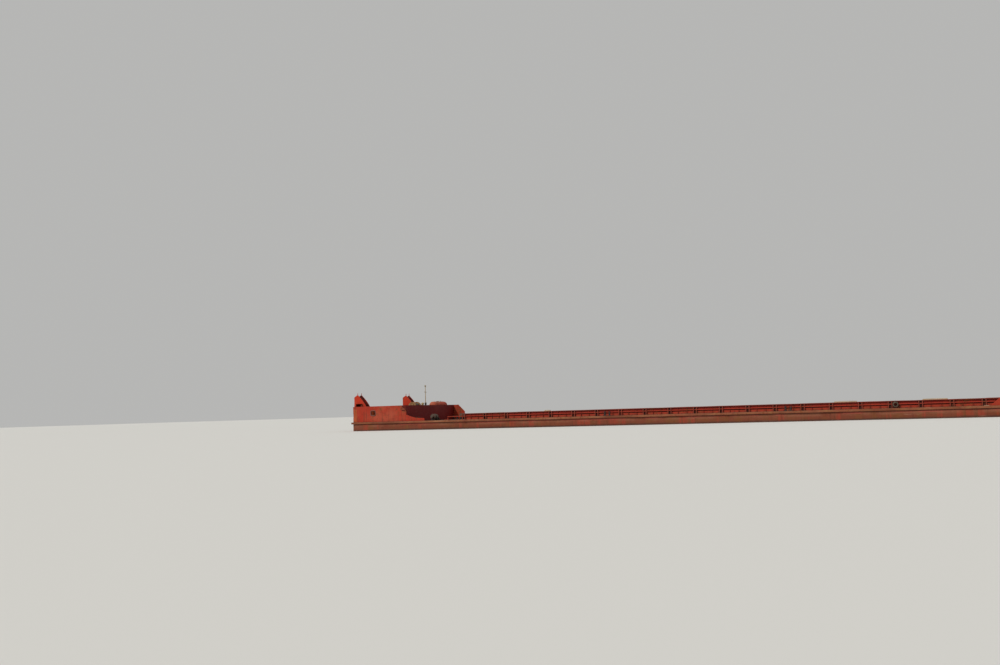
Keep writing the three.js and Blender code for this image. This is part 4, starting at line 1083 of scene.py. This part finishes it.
def toothed(radius, teeth, depth):
    """The outline of a gear wheel."""
    points = []
    for i in range(teeth):
        for share, reach in ((0.0, radius - depth), (0.28, radius), (0.56, radius), (0.84, radius - depth)):
            turn = 2 * math.pi * (i + share) / teeth
            points.append((reach * math.cos(turn), reach * math.sin(turn)))
    return points


def add_coil(bm, place, radius, wire, low, high):
    """Wire wound in one layer about the line across at the place."""
    turns = (high - low) / (2.08 * wire)
    steps = round(turns * 24)
    x, y, z = place
    points = []
    for i in range(steps + 1):
        turn = 2 * math.pi * turns * i / steps
        along = low + (high - low) * i / steps
        points.append((x + radius * math.cos(turn), y + along, z + radius * math.sin(turn)))
    add_tube(bm, points, wire, sides=6)


def build_drum(name, place, size):
    """Drum barrel, flanges and warping head, the gear with its teeth, and the wire on the drum."""
    x, y, z = place
    axis = (x, y, z + size["axis"])
    half = size["length"] / 2
    shaft = size["drum"] * 0.42
    flange_outer = half + FLANGE
    cheek_outer = flange_outer + PLAY + CHEEK
    gear_inner = cheek_outer + 0.003
    head_inner = cheek_outer + 0.004
    head_outer = head_inner + size["head"] * 1.6
    head = size["head"]
    profile = [(0, -head_outer), (head * 0.9, -head_outer), (head, -head_outer + 0.0015)]
    profile.append((head, -head_outer + 0.004))
    for i in range(9):
        share = i / 8
        waist = head * (0.62 + 0.36 * (2 * share - 1) ** 2)
        profile.append((waist, -head_outer + 0.005 + (head_outer - head_inner - 0.005) * share))
    rim = 0.0012
    flange = [
        (shaft, flange_outer), (size["flange"] - rim, flange_outer), (size["flange"], flange_outer - rim),
        (size["flange"], half + rim), (size["flange"] - rim, half), (size["drum"], half),
    ]
    gear_end = gear_inner + GEAR_WIDTH * 0.8
    profile += [(shaft, -head_inner)] + [(radius, -height) for radius, height in flange]
    profile += flange[::-1] + [(shaft, gear_end), (0, gear_end)]
    bm = bmesh.new()
    add_turned(bm, profile, axis, (0, 1, 0), sides=48)
    for side in (-1, 1):
        for a, b in around(x, axis[2], size["flange"] * 0.78, 6):
            add_turned(bm, disc(0.0035, -0.001, 0.0007), (a, y + side * flange_outer, b), (0, side, 0), 12)
    drum_slot = "windlass_paint" if name == "stern_windlass" else "drum_steel"
    make_piece(name + "_drum_body", bm, drum_slot, body=name, replaces=[name + "_drum"])
    bm = bmesh.new()
    teeth = round(size["gear"] * 740)
    outline = toothed(size["gear"], teeth, size["gear"] * 0.075)
    add_prism(bm, outline, gear_inner, gear_inner + GEAR_WIDTH, across(axis))
    hub = ((0, 0), (shaft * 1.5, 0), (shaft * 1.5, 0.0006), (shaft * 1.2, 0.001), (0, 0.001))
    add_turned(bm, hub, (axis[0], y + gear_inner + GEAR_WIDTH, axis[2]), (0, 1, 0), 28)
    make_piece(name + "_gear", bm, "drum_steel", body=name, replaces=[name + "_drum"])
    bm = bmesh.new()
    wire = size["drum"] * 0.085
    add_coil(bm, axis, size["drum"] + wire, wire, -half + wire, half - wire)
    add_coil(bm, axis, size["drum"] + 2.75 * wire, wire, -half + wire, -half + (0.45 * size["length"]))
    make_piece(name + "_wire", bm, "drum_steel", body=name, material="wire_rope")


def build_winch_fittings(name, place, size):
    """Bearing rings and bolts on the cheeks, bed bolts, motor fins, and a lever on the gearbox."""
    x, y, z = place
    drum, axis = size["drum"], size["axis"]
    outer = size["length"] / 2 + FLANGE + PLAY + CHEEK
    bed_half = drum * 1.9
    gear_outer = outer + 0.003 + GEAR_WIDTH
    motor_y = y + gear_outer + 0.003 + MOTOR_BED / 2
    bm = bmesh.new()
    bore = drum * 0.42 + 0.0013
    crown = bore + 0.0052
    for side in (-1, 1):
        ring = ((bore, 0), (crown, 0), (crown, 0.0014), (bore, 0.0018))
        add_ring(bm, ring, (x, y + side * outer, z + axis), (0, side, 0), 32)
    bed_xs = (x - bed_half + 0.005, x + bed_half - 0.005)
    bed_ys = (y - outer + 0.006, y, y + outer - 0.006, y + gear_outer + MOTOR_BED - 0.004)
    add_bolts(bm, bed_xs, bed_ys, z + 0.006)
    fin = axis * 0.2 + 0.0014
    motor_z = z + axis * 0.42
    for i in range(7):
        along = drum * (0.98 + 0.115 * i)
        add_turned(bm, disc(fin, 0, 0.0009), (x + along, motor_y, motor_z), (1, 0, 0), 24)
    cowl = ((0, 0), (fin, 0), (fin, 0.004), (fin * 0.8, 0.0062), (0, 0.0062))
    add_turned(bm, cowl, (x + drum * 1.85 - 0.002, motor_y, motor_z), (1, 0, 0), 24)
    top = z + axis * 0.8
    lid = drum * 0.9 + 0.0015
    lid_half = MOTOR_BED / 2 - 0.0005
    add_box(bm, (x - lid, x + lid), (motor_y - lid_half, motor_y + lid_half), (top - 0.001, top + 0.002))
    add_bolts(bm, (x - lid + 0.004, x + lid - 0.004), (motor_y - 0.014, motor_y + 0.014), top + 0.002)
    add_rod(bm, (x - drum * 0.5, motor_y, top), (x - drum * 0.9, motor_y, top + drum * 0.9), 0.0017)
    knob = ((0, 0), (0.0028, 0.0006), (0.0038, 0.003), (0.0028, 0.0054), (0, 0.006))
    add_turned(bm, knob, (x - drum * 0.9, motor_y, top + drum * 0.9 - 0.002), (0, 0, 1), 14)
    slot = "windlass_paint" if name == "stern_windlass" else "black_fittings"
    make_piece(name + "_fittings", bm, slot, bevel=0.0003)


def add_ring(bm, profile, centre, direction, sides):
    """A loop of (radius, height) pairs turned about the direction, open in the middle."""
    place = Matrix.Translation(centre) @ turn_to(direction)
    rings = []
    for i in range(sides):
        turn = 2 * math.pi * i / sides
        rings.append([
            bm.verts.new(place @ Vector((radius * math.cos(turn), radius * math.sin(turn), height)))
            for radius, height in profile
        ])
    join_rings(bm, rings, closed=True)


def build_hatch_fittings():
    """Swing bolts round each hatch well, and the rungs inside it."""
    bm = bmesh.new()
    for x, y in HATCHES:
        for dx, dy in ((1, 0), (0, 1), (0, -1)):
            for lug in (-0.0035, 0.0035):
                if dx:
                    xs = (x + HATCH_HALF - 0.001, x + HATCH_HALF + 0.009)
                    ys = (y + lug - 0.001, y + lug + 0.001)
                else:
                    xs = (x + lug - 0.001, x + lug + 0.001)
                    ys = sorted((y + dy * (HATCH_HALF - 0.001), y + dy * (HATCH_HALF + 0.009)))
                add_box(bm, xs, ys, LUG_HEIGHTS)
            pin = Vector((x + dx * (HATCH_HALF + 0.0055), y + dy * (HATCH_HALF + 0.0055), PIN_HEIGHT))
            half_pin = Vector((dy * 0.0055, dx * 0.0055, 0))
            add_rod(bm, pin - half_pin, pin + half_pin, 0.0013)
            add_rod(bm, pin, pin - Vector((0, 0, 0.02)), 0.0017)
            wing = pin - Vector((0, 0, 0.019))
            add_rod(bm, wing - 1.2 * half_pin, wing + 1.2 * half_pin, 0.0016)
        wall = x - HATCH_HALF + HATCH_WALL
        for height in RUNG_HEIGHTS:
            points = [
                (wall - 0.001, y - 0.015, height), (wall + 0.008, y - 0.015, height),
                (wall + 0.0095, y - 0.0125, height), (wall + 0.0095, y + 0.0125, height),
                (wall + 0.008, y + 0.015, height), (wall - 0.001, y + 0.015, height),
            ]
            add_tube(bm, points, 0.0016)
    make_piece("hatch_fittings", bm, "black_fittings")


def build_tank():
    """The deck tank on its saddles, with straps, a bolted manway, a filler and a gauge pipe."""
    x, y, z = TANK_PLACE
    profile = [(0, -TANK_HALF)]
    dish = 0.026
    for i in range(1, 9):
        turn = math.pi / 2 * i / 8
        profile.append((TANK_RADIUS * math.sin(turn), -TANK_HALF + dish * (1 - math.cos(turn))))
    profile += [(radius, -height) for radius, height in reversed(profile)]
    bm = bmesh.new()
    add_turned(bm, profile, (x, y, z), (0, 1, 0), 56)
    for side in (-1, 1):
        middle = y + side * TANK_SADDLE
        ys = (middle - 0.005, middle + 0.005)
        foot_ys = (ys[0] - 0.008, ys[1] + 0.008)
        low = RAISED_DECK + GAP
        add_box(bm, (x - TANK_RADIUS * 0.8, x + TANK_RADIUS * 0.8), ys, (low, z - 0.03))
        add_box(bm, (x - TANK_RADIUS * 0.9, x + TANK_RADIUS * 0.9), foot_ys, (low, RAISED_DECK + 0.003))
        inner, outer = TANK_RADIUS - 0.001, TANK_RADIUS + 0.0016
        strap = ((inner, -0.004), (outer, -0.004), (outer, 0.004), (inner, 0.004))
        add_ring(bm, strap, (x, middle, z), (0, 1, 0), 56)
    top = z + TANK_RADIUS
    manway = ((0, -0.012), (0.016, -0.012), (0.016, 0.002), (0.02, 0.002), (0.02, 0.005), (0, 0.0055))
    add_turned(bm, manway, (x, y - 0.02, top), sides=32)
    for spot in around(x, y - 0.02, 0.0178, 10):
        add_bolt(bm, (*spot, top + 0.005))
    filler = ((0, -0.01), (0.005, -0.01), (0.005, 0.007), (0.007, 0.007), (0.007, 0.01), (0, 0.01))
    add_turned(bm, filler, (x, y + 0.06, top), sides=20)
    gauge_x = x + TANK_RADIUS * 0.7
    gauge = [
        (gauge_x, y + 0.14, z + 0.038), (gauge_x + 0.016, y + 0.14, z + 0.038),
        (gauge_x + 0.018, y + 0.14, z + 0.034), (gauge_x + 0.018, y + 0.14, z - 0.034),
        (gauge_x + 0.016, y + 0.14, z - 0.038), (gauge_x, y + 0.14, z - 0.038),
    ]
    add_tube(bm, gauge, 0.0018)
    make_piece("stern_tank_shell", bm, "bulwark_paint", replaces=["stern_tank"], material="tank_red")


def build_mast_fittings():
    """Lamp glass and guard on each mast, and an eye on each side of it part way up."""
    for name, (place, height) in MASTS.items():
        x, y, z = place
        bm = bmesh.new()
        add_turned(bm, disc(0.0093, 0, 0.012), (x, y, z + height - 0.019), sides=28)
        make_piece(name + "_lamp_glass", bm, "mast_paint", body=name, material="lamp_glass")
        bm = bmesh.new()
        spots = around(x, y, GUARD_RADIUS, 24)
        for level in (0.021, 0.013, 0.005):
            add_tube(bm, [(*spot, z + height - level) for spot in spots], 0.0006, closed=True, sides=6)
        for spot in spots[::4]:
            add_rod(bm, (*spot, z + height - 0.022), (*spot, z + height - 0.004), 0.0006, 6)
        for end in (-1, 1):
            eye = (x, y + end * 0.03, z + height * 0.62 - 0.0034)
            bead = ((0, -0.003), (0.0024, -0.0015), (0.0024, 0.0015), (0, 0.003))
            add_turned(bm, bead, eye, (0, 1, 0), 12)
        make_piece(name + "_lamp_guard", bm, "mast_paint", body=name, material="black_fittings")


def add_manhole(bm, x, y, z):
    """An oval cover on a raised ring, with its studs."""
    for reach, low, high in ((1.0, GAP, 0.003), (0.84, 0.003, 0.0055)):
        oval = [(x + 0.034 * a, y + 0.024 * b) for a, b in around(0, 0, reach, 40)]
        add_prism(bm, oval, z + low, z + high, in_plan)
    for a, b in around(0, 0, 1, 14, 0.5):
        add_bolt(bm, (x + 0.031 * a, y + 0.0215 * b, z + 0.003))
    for end in (-1, 1):
        grip = [
            (x + end * 0.01, y - 0.006, z + 0.005), (x + end * 0.01, y - 0.005, z + 0.009),
            (x + end * 0.01, y + 0.005, z + 0.009), (x + end * 0.01, y + 0.006, z + 0.005),
        ]
        add_tube(bm, grip, 0.0011)


def build_deck_fittings():
    """Manholes, sounding caps along the margins, and eyes for lashings at the coaming's foot."""
    bm = bmesh.new()
    for place in MANHOLES:
        add_manhole(bm, *place)
    make_piece("manholes", bm, "deck_paint", material="lid_paint", bevel=0.0003)
    bm = bmesh.new()
    cap = ((0, 0), (0.0085, 0), (0.0085, 0.002), (0.006, 0.0035), (0.006, 0.005), (0, 0.005))
    cap_y, eye_y = HALF_BEAM - 0.018, HALF_BEAM - 0.054
    for side in (-1, 1):
        for bay in range(2, BAYS, 3):
            x = COAMING_AFT + (bay + 0.55) * BAY
            add_turned(bm, cap, (x, side * cap_y, FENDER_TOP - GAP), sides=20)
            add_bolt(bm, (x, side * cap_y, FENDER_TOP + 0.0045))
        for bay in range(1, BAYS, 2):
            x = COAMING_AFT + (bay + 0.5) * BAY
            foot = FENDER_TOP - 0.001
            turns = [math.pi * i / 8 for i in range(9)]
            arch = [(x + 0.007 * math.cos(t), side * eye_y, foot + 0.008 * math.sin(t)) for t in turns]
            add_tube(bm, arch, 0.0016, sides=8)
    make_piece("margin_fittings", bm, "black_fittings")


def bend(points, share):
    """A place on the smooth line through the points."""
    count = len(points) - 1
    step = min(int(share * count), count - 1)
    t = share * count - step
    near = [Vector(points[int(clamp(step + k, 0, count))]) for k in (-1, 0, 1, 2)]
    return 0.5 * (
        2 * near[1]
        + (near[2] - near[0]) * t
        + (2 * near[0] - 5 * near[1] + 4 * near[2] - near[3]) * t ** 2
        + (3 * near[1] - near[0] - 3 * near[2] + near[3]) * t ** 3
    )


def build_chain():
    """Studless links along the chain's route, each turned a quarter from the last."""
    points = [(x, CHAIN_Y, z) for x, z in CHAIN_ROUTE]
    line = [bend(points, i / 200) for i in range(201)]
    pitch = 0.0118
    bm = bmesh.new()
    walked = 0.0
    flat = False
    last = line[0]
    for place in line[1:]:
        walked += (place - last).length
        if walked >= pitch:
            along = (place - last).normalized()
            up = Vector((0, 1, 0)).cross(along) if flat else Vector((0, 1, 0))
            loop = []
            for a, b in rounded_rectangle(0, 0, 0.0158, 0.0086, 0.0042, 4):
                loop.append(place + a * along + b * up)
            add_tube(bm, loop, 0.0013, sides=6, closed=True)
            walked = 0.0
            flat = not flat
        last = place
    make_piece("anchor_chain_links", bm, "anchor_iron", replaces=["anchor_chain"])


BLOCK_FACES = ((0, 1, 3, 2), (4, 5, 7, 6), (0, 1, 5, 4), (2, 3, 7, 6), (0, 2, 6, 4), (1, 3, 7, 5))


def build_tyre():
    """An old truck tyre with round shoulders, a bead, and blocks of tread; it hangs on a hook."""
    bm = bmesh.new()
    crown = TYRE_RADIUS - 0.0016
    wall = (
        (TYRE_RIM, 0.003), (TYRE_RIM + 0.0012, 0.0012), (TYRE_RIM + 0.003, 0.001), (TYRE_RIM + 0.007, 0),
        (crown - 0.004, 0.0006), (crown - 0.001, 0.003), (crown, 0.005),
    )
    profile = [(radius, inset - TYRE_HALF) for radius, inset in wall]
    profile += [(radius, TYRE_HALF - inset) for radius, inset in reversed(wall)]
    add_ring(bm, profile, TYRE_PLACE, (0, 1, 0), 64)
    x, y, z = TYRE_PLACE
    for i in range(TREAD_BLOCKS):
        spin = Matrix.Rotation(2 * math.pi * i / TREAD_BLOCKS, 4, "Y")
        for low, high in ((-0.0075, -0.0028), (-0.0022, 0.0022), (0.0028, 0.0075)):
            skew = 0.5 if low < -0.003 or low > 0.002 else 0.0
            corners = []
            for reach in (crown - 0.001, TYRE_RADIUS - 0.0001):
                for dy in (low, high):
                    for dx in (-0.0017, 0.0017):
                        corner = spin @ Vector((dx + skew * 0.004, dy, reach))
                        corners.append(bm.verts.new(Vector((x, y, z)) + corner))
            for face in BLOCK_FACES:
                bm.faces.new([corners[k] for k in face])
    make_piece("tyre_fender_tread", bm, "tyre", replaces=["tyre_fender"])
    bm = bmesh.new()
    hook = [
        (x, -COAMING_FACE + 0.002, COAMING_TOP + 0.0018),
        (x, -COAMING_FACE - 0.0125, COAMING_TOP + 0.0018),
        (x, -COAMING_FACE - 0.0165, COAMING_TOP - 0.002),
        (x, -COAMING_FACE - 0.0185, COAMING_TOP - 0.012),
        (x, y, z + TYRE_RIM + 0.004),
        (x, y, z + TYRE_RIM - 0.001),
    ]
    add_tube(bm, hook, 0.0017)
    make_piece("tyre_hook", bm, "black_fittings", replaces=["tyre_fender"])


# Each plank of a board: its middle outward of the coaming's face, width, thickness, lift and bow
PLANKS = (
    (0.0065, 0.0175, 0.005, 0.0, 0.0006),
    (-0.0055, 0.0115, 0.0055, 0.0, 0.0006),
    (0.0015, 0.019, 0.0045, 0.0058, 0.0024),
)


def build_boards():
    """Weathered planks in place of each plain board: they bow a little and lie askew."""
    top = COAMING_TOP + GAP
    for index, (start, end) in enumerate(BOARDS):
        bm = bmesh.new()
        ends = (COAMING_AFT + start * BAY, COAMING_AFT + end * BAY)
        for row, (outward, width, thickness, lift, bow) in enumerate(PLANKS):
            shift = 0.006 * field(index * 3.3, row * 7.1, 0.5)
            low_end, high_end = ends[0] + 0.002 + max(shift, 0), ends[1] - 0.002 + min(shift, 0)
            if row == 2:
                low_end += 0.006
            y = -COAMING_FACE - outward
            add_plank(bm, (low_end, high_end), y, width, top + lift, thickness, bow)
        node = "coaming_board_%d" % (index + 1)
        make_piece(node + "_planks", bm, "boards", replaces=[node], bevel=0.0006)
    bm = bmesh.new()
    add_plank(bm, LOOSE_PLANK, -HALF_BEAM + 0.032, 0.02, FENDER_TOP, 0.005, 0.0)
    make_piece("loose_plank", bm, "boards", bevel=0.0006)


def add_plank(bm, xs, y, width, low, thickness, rise):
    """A plank along X, bowed upwards by the rise in the middle."""
    count = 12
    rings = []
    for i in range(count + 1):
        share = i / count
        x = xs[0] + (xs[1] - xs[0]) * share
        z = low + rise * math.sin(math.pi * share)
        rings.append([
            bm.verts.new((x, y - width / 2, z)),
            bm.verts.new((x, y + width / 2, z)),
            bm.verts.new((x, y + width / 2, z + thickness)),
            bm.verts.new((x, y - width / 2, z + thickness)),
        ])
    join_rings(bm, rings)


def build_bulwark_bracket():
    """A small bracket on the outside of the starboard bulwark's fore end, with a bar down from it."""
    x, z = STERN_WALL - 0.004, BULWARK_TOP - 0.042
    y = -BULWARK_OUTER - 0.002
    bm = bmesh.new()
    add_box(bm, (x - 0.014, x - 0.007), (y - 0.003, y + 0.003), (z - 0.016, z + 0.016))
    add_box(bm, (x - 0.014, x + 0.012), (y - 0.004, y + 0.004), (z - 0.016, z - 0.004))
    add_rod(bm, (x, y, z + 0.008), (x + 0.028, y, z - 0.028), 0.0034)
    make_piece("bulwark_bracket", bm, "bulwark_paint", material="bracket_paint", bevel=0.0006)


def build_knee_pins():
    """A pin for the coupling wire in the pocket of each push knee."""
    bm = bmesh.new()
    x = -HULL_END + 0.093
    for side in (-1, 1):
        y = side * (KNEE_MIDDLE + 0.024)
        add_rod(bm, (x, y, BULWARK_TOP - 0.003), (x, y, BULWARK_TOP + 0.041), 0.0065)
    make_piece("push_knee_pins", bm, "bulwark_paint", material="bracket_paint")


def finish_nodes():
    """Gives every CAD node that stays its slot's material and softened edges."""
    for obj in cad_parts.values():
        if obj.hide_render:
            continue
        for old in obj.material_slots:
            name = old.material.name if old.material else ""
            known = [slot for slot in MATERIALS if name.startswith(slot)]
            if known:
                old.material = MATERIALS[known[0]]
        soften(obj, 0.0008, weld=True)


# Stage


def make_camera():
    data = bpy.data.cameras.new("camera")
    data.lens = FOCAL_SHARE * SENSOR_WIDTH
    data.sensor_width = SENSOR_WIDTH
    data.clip_end = 500
    camera = add_object("camera", data)
    yaw, pitch, roll = CAMERA_YAW, CAMERA_PITCH, CAMERA_ROLL
    back = Vector((math.sin(yaw) * math.cos(pitch), -math.cos(yaw) * math.cos(pitch), math.sin(pitch)))
    level = Vector((math.cos(yaw), math.sin(yaw), 0))
    above = back.cross(level)
    right = math.cos(roll) * level + math.sin(roll) * above
    up = math.cos(roll) * above - math.sin(roll) * level
    matrix = Matrix((right, up, back)).transposed().to_4x4()
    matrix.translation = CAMERA_PLACE
    camera.matrix_world = matrix
    bpy.context.scene.camera = camera


def make_light(name, light):
    towards, strength, softness = light
    data = bpy.data.lights.new(name, "SUN")
    data.energy = strength
    data.angle = math.radians(softness)
    obj = add_object(name, data)
    obj.location = towards * 20
    obj.rotation_euler = towards.to_track_quat("Z", "Y").to_euler()


def make_stage():
    bm = bmesh.new()
    bmesh.ops.create_grid(bm, x_segments=1, y_segments=1, size=FLOOR_HALF)
    mesh = bpy.data.meshes.new("floor")
    bm.to_mesh(mesh)
    bm.free()
    floor = add_object("floor", mesh)
    floor.location.z = WATERLINE
    mesh.materials.append(floor_finish())
    world = bpy.data.worlds.new("studio")
    world.use_nodes = True
    background = world.node_tree.nodes["Background"]
    background.inputs["Color"].default_value = SKY_PALE
    background.inputs["Strength"].default_value = SKY_STRENGTH
    bpy.context.scene.world = world
    bpy.context.scene.view_settings.view_transform = "Standard"
    make_light("key", KEY_LIGHT)
    make_light("fill", FILL_LIGHT)


make_camera()
make_stage()
build_hull()
build_decks()
for side_name, side in SIDES:
    battered_copy("stern_bulwark_" + side_name, "bulwark_paint", (0, 2), 0.024, side_push)
    battered_copy("bow_bulwark_" + side_name, "bulwark_paint", (0, 2), 0.024, side_push)
    edge = {"bevel": 0.0005, "segments": 1}
    battered_copy("coaming_" + side_name, "coaming_paint", (0, 2), 0.0244, panel_push, **edge)
    battered_copy("push_knee_" + side_name, "bulwark_paint", (2,), 0.03, knee_push, material="knee_paint")
    build_gunwale("gunwale_" + side_name, side)
battered_copy("stern_bulwark_end", "bulwark_paint", (1, 2), 0.024, end_push)
battered_copy("stern_wall", "wall_paint", (1, 2), 0.024, wall_push)
build_bollards()
build_fairlead_rims()
for winch_name, (place, size) in WINCHES.items():
    build_drum(winch_name, place, size)
    build_winch_fittings(winch_name, place, size)
build_hatch_fittings()
build_tank()
build_mast_fittings()
build_deck_fittings()
build_chain()
build_tyre()
build_boards()
build_bulwark_bracket()
build_knee_pins()
finish_nodes()
